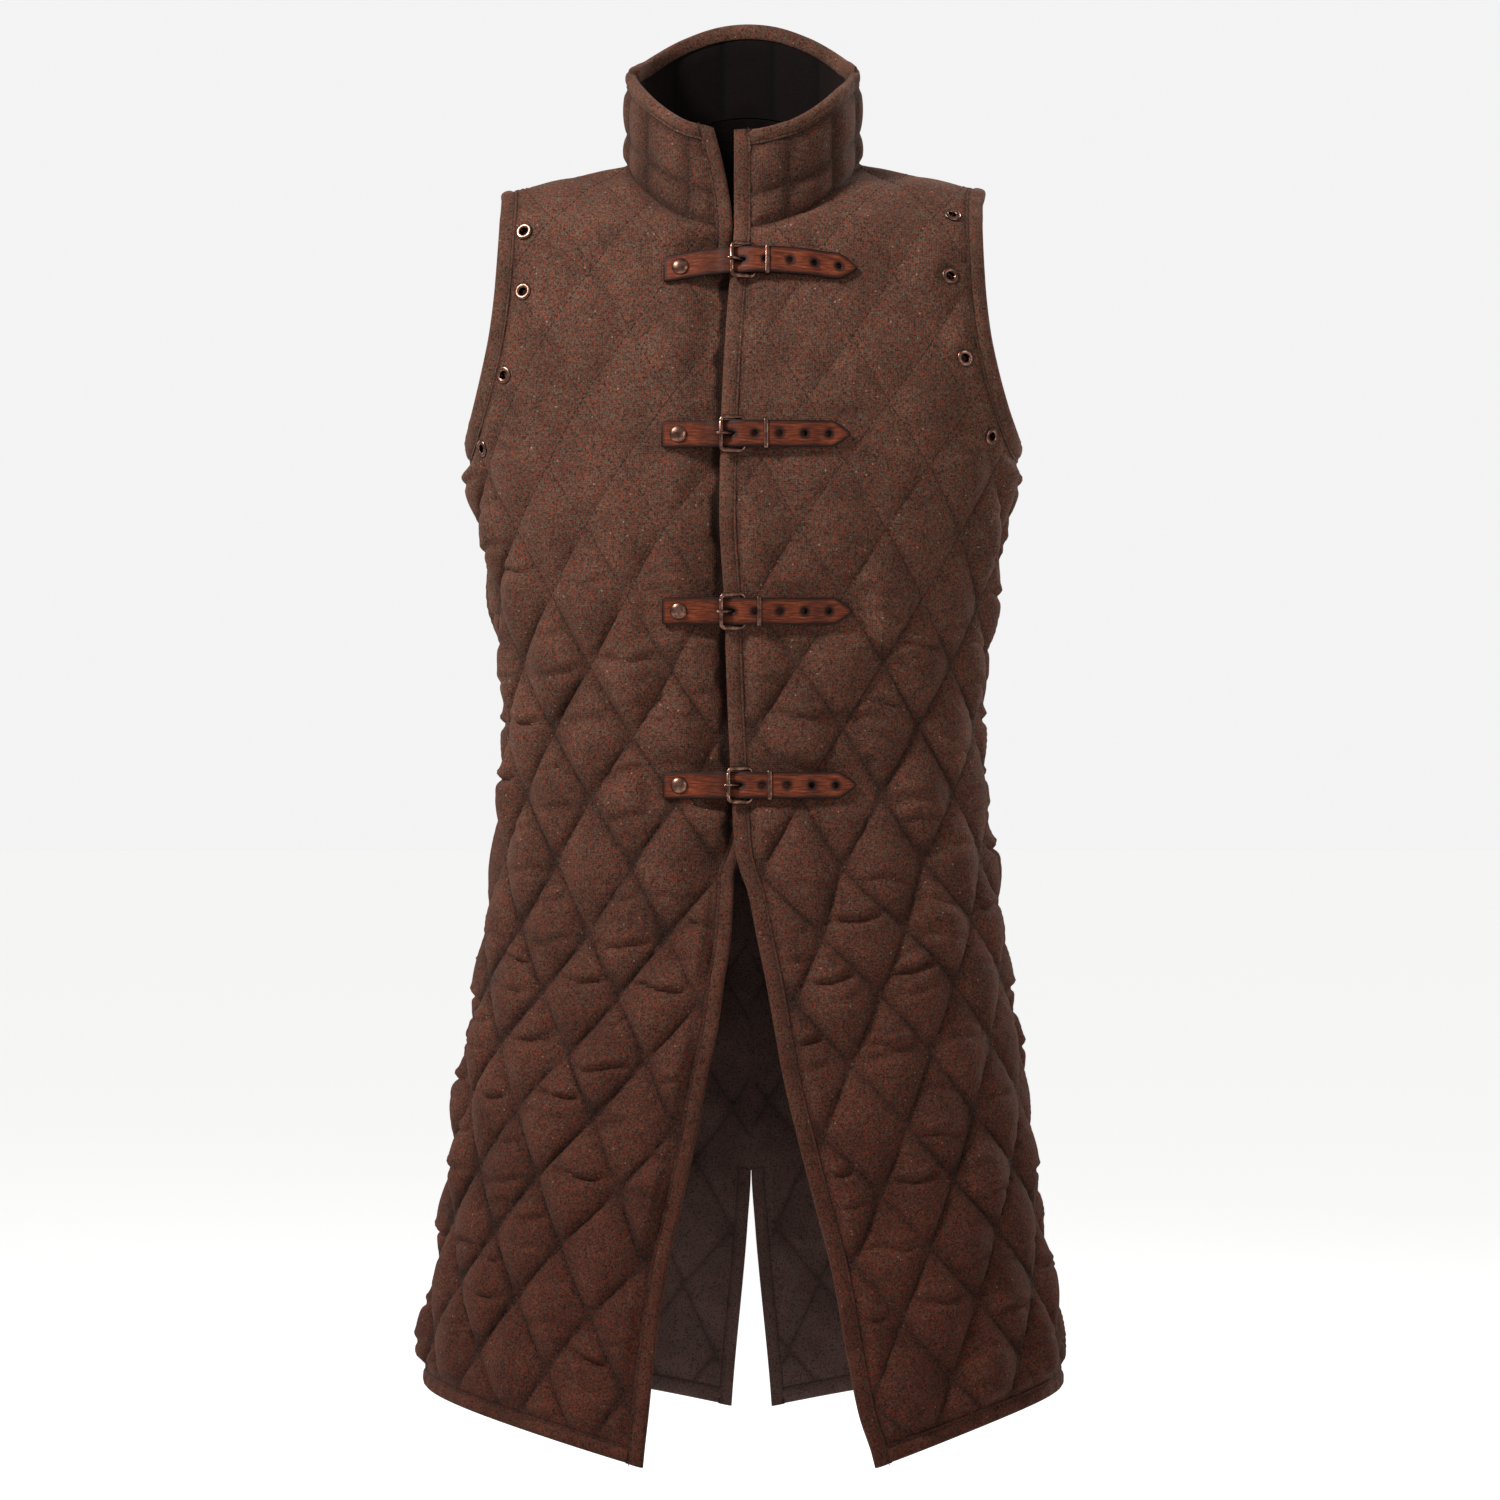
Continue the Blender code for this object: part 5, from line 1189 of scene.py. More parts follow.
def make_panel(panel):
    """A quilted panel with its eyelet holes cut through."""
    loops = [OUTLINES[panel.name]] + [circle(place, EYELET_CUT, 20) for place in eyelet_flats(panel)]
    low, high = loops[0].min(axis=0), loops[0].max(axis=0)

    def place_outer(flat):
        p, q = flat.T
        edge = edge_distance(flat, loops)
        fade = ease((edge - EDGE_CALM) / (EDGE_FULL - EDGE_CALM))
        lift, light = quilt_lift(panel, p, q, fade)
        # painted shade: darker close to every edge, and a painted shadow on the right front beside the left
        # front's edge
        light = np.minimum(light, SEAM_LIGHT + edge / SHADE_EDGE) * lap_shade(panel, p, q)
        return panel.place(p, q, lift)[0], np.column_stack((flat, light))

    def place_inner(flat):
        p, q = flat.T
        a, b = diamond_place(panel, p, q)
        pillow = np.sqrt(np.abs(np.sin(math.pi * a) * np.sin(math.pi * b)))
        fade = ease((edge_distance(flat, loops) - EDGE_CALM) / (EDGE_FULL - EDGE_CALM))
        lift = WALL_INSIDE + INNER_GAP - INNER_PUFF * pillow * fade - INNER_GAP * (1 - fade)
        # painted shade: the inner skin is darker in its valleys
        return panel.place(p, q, lift)[0], np.column_stack((flat, 0.2 + pillow))

    outer = keep_inside(slanted_points(panel, low, high, OUTER_CELLS), loops, OUTER_CLEAR)
    inner = keep_inside(slanted_points(panel, low, high, INNER_CELLS), loops, INNER_CLEAR)
    thing, area = make_wall(f"{panel.name}_cloth", loops, outer, inner, place_outer, place_inner,
                            [panel_tweed, shaded_inner_wool])
    wear(thing, "quilted_wool", panel.name)
    flat = (float(high[0] - low[0]) * MM, float(high[1] - low[1]) * MM)
    return thing, flat, area


cut = {}
for panel in PANELS:
    cut[panel.name] = make_panel(panel)
    size, area = cut[panel.name][1:]
    print(panel.name, "cut", [round(v, 3) for v in size], "m, area", round(area, 3))

# %% [markdown]
# ## Folded bindings
#
# A binding is a strip of cloth that is folded over a cut edge and sewn down near its inner border. It is
# swept as a closed section along the edge: rounded over the fold, with a groove where the stitches
# pull it in. A slow ripple runs along it, because the thread draws the strip up a little.

# %% Folded bindings
# share of the way from the fold to the inner border, and lift there in the three kinds of binding
SECTIONS = (
    (1.05, 0.1, 0.1, 0.1), (1.0, 0.95, 0.85, 1.05), (0.9, 0.75, 0.7, 0.8), (0.84, 0.35, 0.3, 0.4),
    (0.78, 0.75, 0.6, 0.9), (0.66, 1.5, 1.1, 1.7), (0.5, 1.8, 1.3, 2.1), (0.3, 1.7, 1.2, 2.0),
    (0.14, 1.2, 0.75, 1.3), (0.045, 0.1, -0.1, 0.1), (0.0, -1.4, -1.4, -1.6), (0.0, -3.0, -2.9, -3.2),
    (0.045, -4.3, -4.1, -4.9), (0.16, -5.1, -4.9, -6.0), (0.6, -5.5, -5.2, -6.3), (1.05, -5.3, -5.1, -6.2),
)
BOUND, FLAT, RIM = ([(row[0], row[kind]) for row in SECTIONS] for kind in (1, 2, 3))
STITCH_SHARE = 0.84
STITCH_LIFT = 0.4
BINDING_LIGHT = 0.6
GROOVE_LIGHT = 0.16
BIAS_WIDTH = 14
INNER_FACE_LIFT = -2
stitch_rows = []


def ring_faces(count, size, closed):
    """The side faces of a bar that is swept through a number of rings."""
    faces = []
    for step in range(count if closed else count - 1):
        here, there = step * size, (step + 1) % count * size
        for corner in range(size):
            beside = (corner + 1) % size
            faces.append([here + corner, here + beside, there + beside, there + corner])
    return faces


def make_band(node, stations, section, closed=False, ripple=0.22, inside_shaded=False):
    """Sweep a section along stations, each an edge point, its normal, an inner point and its normal.

    A band whose inside is shaded has the inner wool's painted shade on its inner side.
    """
    stations = [tuple(np.asarray(part, dtype=float) for part in station) for station in stations]
    edge, edge_normal, inner, inner_normal = (np.stack(part) for part in zip(*stations))
    walked = np.concatenate(([0.0], np.cumsum(np.linalg.norm(np.diff(edge, axis=0), axis=1))))
    wave = 1 + ripple * (np.sin(walked / 2.3) + np.sin(walked / 3.7 + 1.3) * 0.6 + np.sin(walked / 17))

    def line(share, lift):
        """Points and directions along the band at a share of the way in."""
        normal = unit(edge_normal * (1 - share) + inner_normal * share)
        return edge + (inner - edge) * share + normal * lift, normal

    points = []
    cloth = []
    for share, lift in section:
        raised = lift * wave if lift > 0.5 else np.full(len(walked), lift)
        points.append(line(share, raised[:, None])[0])
        # painted shade: the inner border and the stitched groove are painted dark, and the rest of the band a
        # little darker
        light = GROOVE_LIGHT if share > 0.99 or share == STITCH_SHARE else BINDING_LIGHT
        across, along = share * BIAS_WIDTH + walked * 0.5, walked - share * BIAS_WIDTH
        cloth.append(np.column_stack((across, along, np.full(len(walked), light))))
    size = len(section)
    count = len(stations)
    points = np.stack(points, axis=1).reshape(-1, 3)
    cloth = np.stack(cloth, axis=1).reshape(-1, 3)
    faces = ring_faces(count, size, closed)
    within = [inside_shaded and lift < INNER_FACE_LIFT for share, lift in section]
    slots = [int(within[face % size] and within[(face + 1) % size]) for face in range(len(faces))]
    if not closed:
        faces.append(list(range(size)))
        faces.append([(count - 1) * size + corner for corner in reversed(range(size))])
        slots += [0, 0]
    thing = close_up(finish_mesh(f"{node}_cloth", points, faces, [binding_tweed, shaded_inner_wool], slots, cloth))
    wear(thing, "binding_wool", node)
    print(f"  {walked[-1] * MM:.3f} m long, {np.linalg.norm(inner - edge, axis=1).mean():.1f} mm wide")
    row, normal = line(STITCH_SHARE, STITCH_LIFT)
    if closed:
        row, normal = (np.concatenate((values, values[:1])) for values in (row, normal))
    stitch_rows.append((row, normal))
    return thing


def hem_binding(side):
    """The binding of one side's hem, from the front binding round to the back slit."""
    stations = []
    for panel in (FRONTS[side], BACKS[side]):
        pairs = zip(hem_flats(panel, HEM, 0.0), hem_flats(panel, HEM + BINDING, 0.0))
        row = [panel.place(*outer) + panel.place(*inner) for outer, inner in pairs]
        stations += row if panel.half == "front" else list(reversed(row))[1:]
    return make_band(f"hem_binding_{SIDE_NAMES[side]}", stations, BOUND, inside_shaded=True)


def slit_binding(side):
    """The binding of one edge of the back slit."""
    panel = BACKS[side]
    stations = []
    for q in [HEM] + edge_heights(panel)[:-1] + [SLIT_TOP]:
        p = panel.edge(q) - panel.swing(q)
        stations.append(panel.place(p, q) + panel.place(p + SLIT_BINDING, q))
    return make_band(f"back_slit_binding_{SIDE_NAMES[side]}", stations, BOUND, inside_shaded=True)


def armhole_binding(side):
    """The closed binding round one armhole."""
    stations = []
    flip = np.array([side, 1.0, 1.0])
    for panel in (FRONTS[side], BACKS[side]):
        point, inward, normal = armhole_edge(panel)
        flats = armhole_flats(panel, ARMHOLE_BINDING)
        row = []
        for step, (p, q) in enumerate(flats):
            inner, inner_normal = panel.place(p, q)
            if step in (0, len(flats) - 1):
                inner[1] = 0.0
            row.append((point[step] * flip, normal[step] * flip, inner, inner_normal))
        stations += row if panel.half == "front" else list(reversed(row))[1:-1]
    return make_band(f"armhole_binding_{SIDE_NAMES[side]}", stations, BOUND, closed=True)


bindings = {side: [hem_binding(side), slit_binding(side), armhole_binding(side)] for side in (LEFT, RIGHT)}
print("bindings so far:", sum(len(made) for made in bindings.values()))

# %% [markdown]
# ## The stand collar
#
# The collar is a strip that follows the neckline and stands up from it. A stitched groove runs round it
# above the neck seam, and upright rows of stitches divide the rest into broad ribs. Its two ends lean
# apart at the front, and the front bindings run on up them.

# %% The stand collar
class Collar:
    """The stand collar: c runs round from the centre back, v runs up from the neckline."""

    def __init__(self):
        samples = []
        quarter = FINE_STEPS // 2 + 1
        for half, turns in (("front", spread(0, math.pi / 2, quarter)),
                            ("back", spread(math.pi / 2, 0, quarter)[1:])):
            for turn in turns:
                x = NECK_HALF_WIDTH * math.sin(turn)
                z = neckline_z(half, x)
                s = ring_length(half, 0.0) if turn == math.pi / 2 else ring_distance(half, np.float64(x), z)
                samples.append(body(half, 1, s, cloth_height[half](z))[0])
        samples = np.array(samples)
        self.base = samples
        level = np.hypot(np.diff(samples[:, 0]), np.diff(samples[:, 1]))
        self.length = np.concatenate(([0.0], np.cumsum(level)))
        self.half = self.length[-1]
        tangent = np.gradient(samples[:, :2], axis=0)
        outward = np.stack((tangent[:, 1], -tangent[:, 0]), axis=1)
        # straight forwards at the centre front and straight back at the centre back
        outward[0] = (0.0, -1.0)
        outward[-1] = (0.0, 1.0)
        self.outward = unit(outward)

    def edge(self, side, v):
        """Distance from the centre front of the collar's end."""
        if side == LEFT:
            return float(left_edge(-NECK_DROP))
        lean = COLLAR_LEAN * (max(v, 0) / COLLAR_HEIGHT) ** COLLAR_LEAN_POWER
        return -float(right_edge(-NECK_DROP)) + lean

    def place(self, side, d, v, lift=0.0):
        """Point of the collar, and its outward direction, at a distance from the centre front."""
        d = np.asarray(d, dtype=float)
        along = np.abs(d)
        point = np.stack([np.interp(along, self.length, self.base[:, axis]) for axis in range(3)], -1)
        out = np.stack([np.interp(along, self.length, self.outward[:, axis]) for axis in range(2)], -1)
        out = np.concatenate((out, np.zeros(out.shape[:-1] + (1,))), axis=-1)
        flip = np.stack((side * np.where(d < 0, -1.0, 1.0), np.ones(d.shape), np.ones(d.shape)), -1)
        point = point + out * np.asarray(lift, dtype=float)[..., None]
        point[..., 2] += v
        return point * flip, out * flip

    def place_round(self, c, v, lift):
        """Point of the collar at a distance from the centre back, positive to the left."""
        side = np.where(c < 0, -1.0, 1.0)
        point, out = self.place(1, self.half - np.abs(c), v, lift)
        flip = np.stack((side, np.ones(side.shape), np.ones(side.shape)), -1)
        return point * flip, out * flip

    def end(self, side, v):
        """Place of the quilted strip's end, just short of the front binding."""
        return side * (self.half - self.edge(side, v) - BINDING + SEAM_LAP)


collar = Collar()
COLLAR_TOP = COLLAR_HEIGHT - COLLAR_RIM + SEAM_LAP
COLLAR_RIB = 4.6
COLLAR_REACH = 300


def collar_lift(c, v, fade):
    """Lift of the collar's outer cloth, and its ribs' height from 0 on a stitch line to 1."""
    column = np.abs(np.cos(c * math.pi / COLLAR_LINE_PITCH))
    lower = np.sin(np.clip(v / COLLAR_GROOVE, 0, 1) * math.pi)
    upper = np.sin(np.clip((v - COLLAR_GROOVE) / (COLLAR_TOP - COLLAR_GROOVE), 0, 1) * math.pi)
    band = np.where(v < COLLAR_GROOVE, lower, upper)
    number = np.floor(c / COLLAR_LINE_PITCH + 0.5)
    chance = dice(number + 50, np.where(v < COLLAR_GROOVE, 3, 8) + 0 * number)
    height = column ** 0.7 * np.clip(band, 0, 1) ** 0.6
    lift = COLLAR_RIB * height * (0.78 + 0.4 * chance)
    lift += 0.5 * np.sin(c / 3.1 + 7 * chance + 0.06 * v) * np.exp(-np.abs(v - COLLAR_GROOVE) / 6) * column
    return lift * fade, height


def make_collar():
    """The collar's quilted wall, between its end bindings and under its rim binding."""
    low, high = COLLAR_SEAT, COLLAR_TOP
    ups = spread(low, high, 30)
    bottom = spread(collar.end(RIGHT, low), collar.end(LEFT, low), 220)
    top = spread(collar.end(LEFT, high), collar.end(RIGHT, high), 220)
    outline = [(c, low) for c in bottom] + [(collar.end(LEFT, v), v) for v in ups[1:-1]]
    outline += [(c, high) for c in top] + [(collar.end(RIGHT, v), v) for v in reversed(ups[1:-1])]
    loops = [np.array(outline)]

    def grid(step, clear):
        points = square_points((-COLLAR_REACH, low), (COLLAR_REACH + step, high), step)
        return keep_inside(points, loops, clear)

    def place_outer(flat):
        c, v = flat.T
        lift, height = collar_lift(c, v, ease((edge_distance(flat, loops) - 0.5) / 7))
        # painted shade: the collar is painted darker overall, and darkest in its stitched grooves
        return collar.place_round(c, v, lift)[0], np.column_stack((flat, SEAM_LIGHT + 0.3 * height))

    def place_inner(flat):
        c, v = flat.T
        height = np.abs(np.cos(c * math.pi / COLLAR_LINE_PITCH)) ** 0.7
        lift = COLLAR_INSIDE + 0.8 - 1.6 * height * ease(edge_distance(flat, loops) / 8)
        # painted shade: the inner side is darker between its ribs
        return collar.place_round(c, v, lift)[0], np.column_stack((flat, height))

    thing, area = make_wall("collar_cloth", loops, grid(1.9, 1.0), grid(4.0, 2.0), place_outer, place_inner,
                            [panel_tweed, shaded_inner_wool])
    wear(thing, "quilted_wool", "collar")
    return thing, (float(bottom[-1] - bottom[0]) * MM, (high - low) * MM), area


cut["collar"] = make_collar()
print("collar cut", [round(v, 3) for v in cut["collar"][1]], "m")

# %% [markdown]
# ## The bindings of the collar's rim and of the front edges
#
# The rim's binding runs round the collar's top. Each front edge has one long binding that runs
# without a break from the hem up to the collar's top.

# %% The bindings of the collar's rim and of the front edges
def rim_binding():
    """The binding along the collar's top, between the two front bindings."""
    low = COLLAR_HEIGHT - COLLAR_RIM
    stations = []
    for share in spread(0.0, 1.0, 190):
        row = []
        for v in (COLLAR_HEIGHT, low):
            c = collar.end(RIGHT, v) + (collar.end(LEFT, v) - collar.end(RIGHT, v)) * share
            row += collar.place_round(np.float64(c), v, 0.0)
        stations.append(tuple(row))
    return make_band("collar_rim_binding", stations, RIM)


def front_binding(side):
    """The binding of one front edge, unbroken from the hem to the collar's top."""
    panel = FRONTS[side]
    stations = []
    for q in [HEM] + edge_heights(panel):
        p = panel.edge(q) - panel.swing(q)
        stations.append(panel.place(p, q) + panel.place(p + BINDING, q))
    for v in spread(COLLAR_SEAT, COLLAR_TOP, 28) + [COLLAR_HEIGHT - 5, COLLAR_HEIGHT]:
        d = collar.edge(side, v)
        stations.append(collar.place(side, d, v) + collar.place(side, d + BINDING, v))
    return make_band(f"front_binding_{SIDE_NAMES[side]}", stations, FLAT, ripple=0.3)


collar_binding = rim_binding()
for side in (LEFT, RIGHT):
    bindings[side].append(front_binding(side))
print("rows of stitches on the bindings:", len(stitch_rows))

# %% [markdown]
# ## Leather straps
#
# Each closure has a long strap, riveted to the right front and pointed at its tip, and a short one that
# holds the buckle on the left front. A strip is cut flat, as a saddler cuts it: an outline and punched
# holes, filled with points about 1 mm apart and laid in the surface of the front. Its cut edges are
# rounded over, and a creasing iron has pressed a thin line along them.

# %% Leather straps
STRAP_WIDTH = 19.0
STRAP_THICK = 2.4
STRAP_POINT = 13.0
STRAP_POINT_POWER = 0.75
STRAP_HOLE_PITCH = 17.5
STRAP_HOLE_RADIUS = 2.0
STRAP_HOLES = 4
PRONG_SLOT = (3.6, 1.6)
PRONG_SLOT_FROM_BAR = 6.5
BUCKLE_LENGTH = 16.1
BUCKLE_WIRE = 1.6
CHAPE_END = 50.0
CHAPE_THICK = 2.0
CHAPE_GAP = 0.35
STRIP_STEP = 1.1
STRIP_CLEAR = 0.45
STRIP_REACH = 6.0
EDGE_ROUND = 0.9
ROUND_DROP = 0.5
CREASE_IN = 2.1
CREASE_DEEP = 0.14
CREASE_WIDE = 0.4


def on_front(closure, a, b, lift):
    """Point of the front, beside a closure's centre line, and its outward direction."""
    a = np.asarray(a, dtype=float)
    return body("front", 1, a, closure_line(closure, a) + b, lift)


def strap_lift(closure):
    """Lift of the strap's underside along it."""
    bar, keeper, heel = closure.bar, closure.keeper, closure.bar + BUCKLE_LENGTH
    return smooth_table((
        (STRAP_START, 1.3), (bar - 12, 1.4), (bar - 4, 2.4), (bar + 2, 2.5), (heel - 3, 4.4),
        (heel, 4.65), (heel + 4, 4.55), (keeper - 3, 4.4), (keeper + 3, 4.35), (keeper + 12, 3.5),
        (CHAPE_END - 2, 3.4), (CHAPE_END + 12, 1.8), (closure.tip, 1.3),
    ))


def chape_lift(closure):
    """Lift of the buckle strap's underside along it."""
    heel, keeper = closure.bar + BUCKLE_LENGTH, closure.keeper
    return smooth_table(
        ((heel, 1.6), (keeper - 3, 2.0), (keeper + 3, 2.0), (keeper + 10, 1.1), (CHAPE_END, 1.0)))


def make_strip(node, closure, loops, lift, thick):
    """A leather strip laid in the front's surface, with rounded edges and a pressed line along them."""
    def grid(step):
        points = square_points(loops[0].min(axis=0), loops[0].max(axis=0), step)
        return keep_inside(points, loops, step * STRIP_CLEAR, STRIP_REACH)

    def skin(level, outwards):
        def place(flat):
            edge = edge_distance(flat, loops, STRIP_REACH)
            turn = np.clip(1 - edge / EDGE_ROUND, 0, 1)
            drop = ROUND_DROP * (1 - np.sqrt(1 - turn * turn))
            drop += CREASE_DEEP * np.exp(-((edge - CREASE_IN) / CREASE_WIDE) ** 2)
            height = lift(flat[:, 0]) + level - outwards * drop
            return on_front(closure, flat[:, 0], flat[:, 1], height)[0], np.column_stack((flat, edge))
        return place

    thing = make_wall(f"{node}_leather", loops, grid(STRIP_STEP), grid(3 * STRIP_STEP),
                      skin(thick, 1), skin(0.0, -1), [leather, leather])[0]
    return wear(thing, "strap_leather", node)


def make_strap(closure):
    """The long strap, pointed at its tip, with its row of holes and the slot for the prong."""
    bar, tip, half = closure.bar, closure.tip, STRAP_WIDTH / 2
    columns = spread(STRAP_START, tip - STRAP_POINT, 60) + [
        tip - STRAP_POINT * (1 - step / 12) ** 1.4 for step in range(1, 12)]
    lower = []
    for a in columns:
        riveted_end = min(1.0, (a - STRAP_START + 1.5) / 3.0)
        point = min(1.0, (tip - a) / STRAP_POINT) ** STRAP_POINT_POWER
        lower.append((a, -half * (0.86 + 0.14 * riveted_end) * point))
    upper = [(a, -b) for a, b in reversed(lower)]
    slot = circle((0, 0), 1.0, 24) * np.array(PRONG_SLOT) + np.array((bar + PRONG_SLOT_FROM_BAR, 0))
    loops = [np.array(lower + [(tip, 0.0)] + upper), slot]
    for step in range(1, STRAP_HOLES + 1):
        a = bar + PRONG_SLOT_FROM_BAR + STRAP_HOLE_PITCH * step
        if a < tip - STRAP_POINT:
            loops.append(circle((a, 0.0), STRAP_HOLE_RADIUS, 20))
    return make_strip(f"strap_{closure.number}", closure, loops, strap_lift(closure), STRAP_THICK)


def make_chape(closure):
    """The short strap that holds the buckle, sewn to the left front."""
    start = closure.bar + BUCKLE_LENGTH + BUCKLE_WIRE + CHAPE_GAP
    half = STRAP_WIDTH / 2 - 0.4
    lower = [(a, -half * (0.84 if a > CHAPE_END - 1 else 1.0)) for a in spread(start, CHAPE_END, 30)]
    loops = [np.array(lower + [(a, -b) for a, b in reversed(lower)])]
    return make_strip(f"chape_{closure.number}", closure, loops, chape_lift(closure), CHAPE_THICK)


straps = [make(closure) for closure in CLOSURES for make in (make_strap, make_chape)]
print("leather strips:", len(straps))

# %% [markdown]
# ## Buckles, prongs and keepers
#
# A buckle is a rectangle of round wire with a loose roller on the bar that the strap pulls against. A
# prong goes through the strap and rests on the roller, and a flat loop keeps the strap down. All three
# are bars swept along a path, so one function makes them: it carries a round or flat section along
# points of the front's surface.

# %% Buckles, prongs and keepers
BUCKLE_HALF_HEIGHT = 11.9
BUCKLE_CORNER = 3.2
ROLLER_RADIUS = 1.9
ROLLER_END = ((0.0, 1.5), (0.01, 1.6), (0.5, ROLLER_RADIUS))
ROLLER_PLAY = 0.3
FREE_BAR_LIFT = 6.85
HEEL_BAR_LIFT = 2.6
PRONG_RADIUS = 1.1
PRONG_PATH = ((14.0, 2.5), (9.3, 2.55), (6.5, 4.7), (3.9, 7.6), (0.0, 9.95), (-3.4, 9.5))
KEEPER_WIDTH = 3.0
KEEPER_HALF_HEIGHT = 10.4
KEEPER_HALF_THICK = 0.45
KEEPER_LOW = 1.3
KEEPER_HIGH = 7.55
KEEPER_CORNER = 1.4
BAR_SIDES = 14


def rounded_rectangle(low, high, corner, steps=6):
    """Points round a rectangle with round corners, and points along its sides."""
    points = []
    corners = ((high[0], high[1]), (low[0], high[1]), (low[0], low[1]), (high[0], low[1]))
    for turn, (x, y) in enumerate(corners):
        centre = (x - corner * (1 if x == high[0] else -1), y - corner * (1 if y == high[1] else -1))
        for step in range(steps + 1):
            angle = math.pi / 2 * (turn + step / steps)
            points.append((centre[0] + corner * math.cos(angle), centre[1] + corner * math.sin(angle)))
    return np.array(points)


def sweep_bar(places, ups, wide, thick, closed, roundness=1.0):
    """Points and faces of a bar swept along places. Its section is wide along the ups.

    A roundness of 1 gives an oval section, and less makes it squarer.
    """
    along = np.gradient(places, axis=0)
    if closed:
        along = np.roll(places, -1, axis=0) - np.roll(places, 1, axis=0)
    along = unit(along)
    beside = unit(np.cross(ups, along))
    up = np.cross(along, beside)
    turns = np.arange(BAR_SIDES) * math.tau / BAR_SIDES
    section_up = np.sign(np.cos(turns)) * np.abs(np.cos(turns)) ** roundness
    section_beside = np.sin(turns)
    rings = (places[:, None] + (wide[:, None] * section_up)[..., None] * up[:, None]
             + (thick[:, None] * section_beside)[..., None] * beside[:, None])
    faces = ring_faces(len(places), BAR_SIDES, closed)
    if not closed:
        faces.append(list(range(BAR_SIDES)))
        faces.append([(len(places) - 1) * BAR_SIDES + corner for corner in range(BAR_SIDES)])
    return rings.reshape(-1, 3), faces


def make_metal(node, *bars):
    """One metal piece from its swept bars."""
    points, faces, first = [], [], 0
    for bar_points, bar_faces in bars:
        points.append(bar_points)
        faces += [[corner + first for corner in face] for face in bar_faces]
        first += len(bar_points)
    thing = finish_mesh(f"{node}_metal", np.concatenate(points), faces, [brass], smooth_angle=50.0)
    return wear(close_up(thing), "antique_metal", node)


def make_buckle(closure):
    """The buckle's wire frame, and the roller on its free bar."""
    bar, heel, high = closure.bar, closure.bar + BUCKLE_LENGTH, BUCKLE_HALF_HEIGHT
    path = rounded_rectangle((bar, -high), (heel, high), BUCKLE_CORNER)
    lift = np.interp(path[:, 0], (bar, heel), (FREE_BAR_LIFT, HEEL_BAR_LIFT))
    places, ups = on_front(closure, path[:, 0], path[:, 1], lift)
    wire = np.full(len(path), BUCKLE_WIRE)
    frame_bar = sweep_bar(places, ups, wire, wire, True)
    reach = high - BUCKLE_CORNER - ROLLER_PLAY
    upper = [(reach - inset, radius) for inset, radius in ROLLER_END]
    lower = [(-place, radius) for place, radius in upper]
    across, radius = np.array(lower + [(0.0, ROLLER_RADIUS)] + upper[::-1]).T
    lift = np.full(len(across), FREE_BAR_LIFT)
    places, ups = on_front(closure, np.full(len(across), bar), across, lift)
    roller = sweep_bar(places, ups, radius, radius, False)
    return make_metal(f"buckle_{closure.number}", frame_bar, roller)


def make_prong(closure):
    """The prong, from beside the heel bar up through the strap and over the roller."""
    along = np.array(spread(PRONG_PATH[-1][0], PRONG_PATH[0][0], 34))
    lift = smooth_table(PRONG_PATH)(along)
    places, ups = on_front(closure, closure.bar + along, np.zeros(len(along)), lift)
    from_tip = along - along[0]
    rounded_tip = np.clip(from_tip / 0.9, 0.05, 1) ** 0.5
    radius = PRONG_RADIUS * np.minimum(1.0, 0.72 + 0.28 * from_tip / 6) * rounded_tip
    return make_metal(f"prong_{closure.number}", sweep_bar(places, ups, radius, radius, False))


def make_keeper(closure):
    """The flat loop that holds the strap down on the buckle strap."""
    path = rounded_rectangle((-KEEPER_HALF_HEIGHT, KEEPER_LOW), (KEEPER_HALF_HEIGHT, KEEPER_HIGH),
                             KEEPER_CORNER)
    middle = np.full(len(path), closure.keeper)
    places = on_front(closure, middle, path[:, 0], path[:, 1])[0]
    here, beside = (on_front(closure, closure.keeper + step, 0.0, 0.0)[0] for step in (0.0, 1.0))
    ups = np.tile(unit(beside - here), (len(path), 1))
    wide = np.full(len(path), KEEPER_WIDTH / 2)
    thick = np.full(len(path), KEEPER_HALF_THICK)
    return make_metal(f"keeper_{closure.number}", sweep_bar(places, ups, wide, thick, True, 0.5))


metal = [make(closure) for closure in CLOSURES for make in (make_buckle, make_prong, make_keeper)]
print("buckles, prongs and keepers:", len(metal))

# %% [markdown]
# ## Geometry Nodes for what repeats
#
# Rivets, eyelets and stitches are each one small shape set many times. A node tree holds the shape and
# its sizes as named inputs, and a plain mesh of points or lines says where the copies go and which way
# is out. The result is turned into a plain mesh, and the modifier is taken off.

# %% Geometry Nodes for what repeats
def start_tree(name, **sizes):
    """A geometry tree with named size inputs. Returns it and its input node."""
    tree = bpy.data.node_groups.new(name, "GeometryNodeTree")
    tree.interface.new_socket("Geometry", in_out="INPUT", socket_type="NodeSocketGeometry")
    tree.interface.new_socket("Geometry", in_out="OUTPUT", socket_type="NodeSocketGeometry")
    for label, value in sizes.items():
        socket = tree.interface.new_socket(label, in_out="INPUT", socket_type="NodeSocketFloat")
        socket.default_value = value
    return tree, add(tree, "NodeGroupInput").outputs


def end_tree(tree, instances, paint):
    """Make the copies real, smooth and painted, and send them out of the tree."""
    real = add(tree, "GeometryNodeRealizeInstances", Geometry=instances).outputs["Geometry"]
    smooth = add(tree, "GeometryNodeSetShadeSmooth", Geometry=real).outputs[0]
    painted = add(tree, "GeometryNodeSetMaterial", Geometry=smooth, Material=paint).outputs["Geometry"]
    add(tree, "NodeGroupOutput", Geometry=painted)


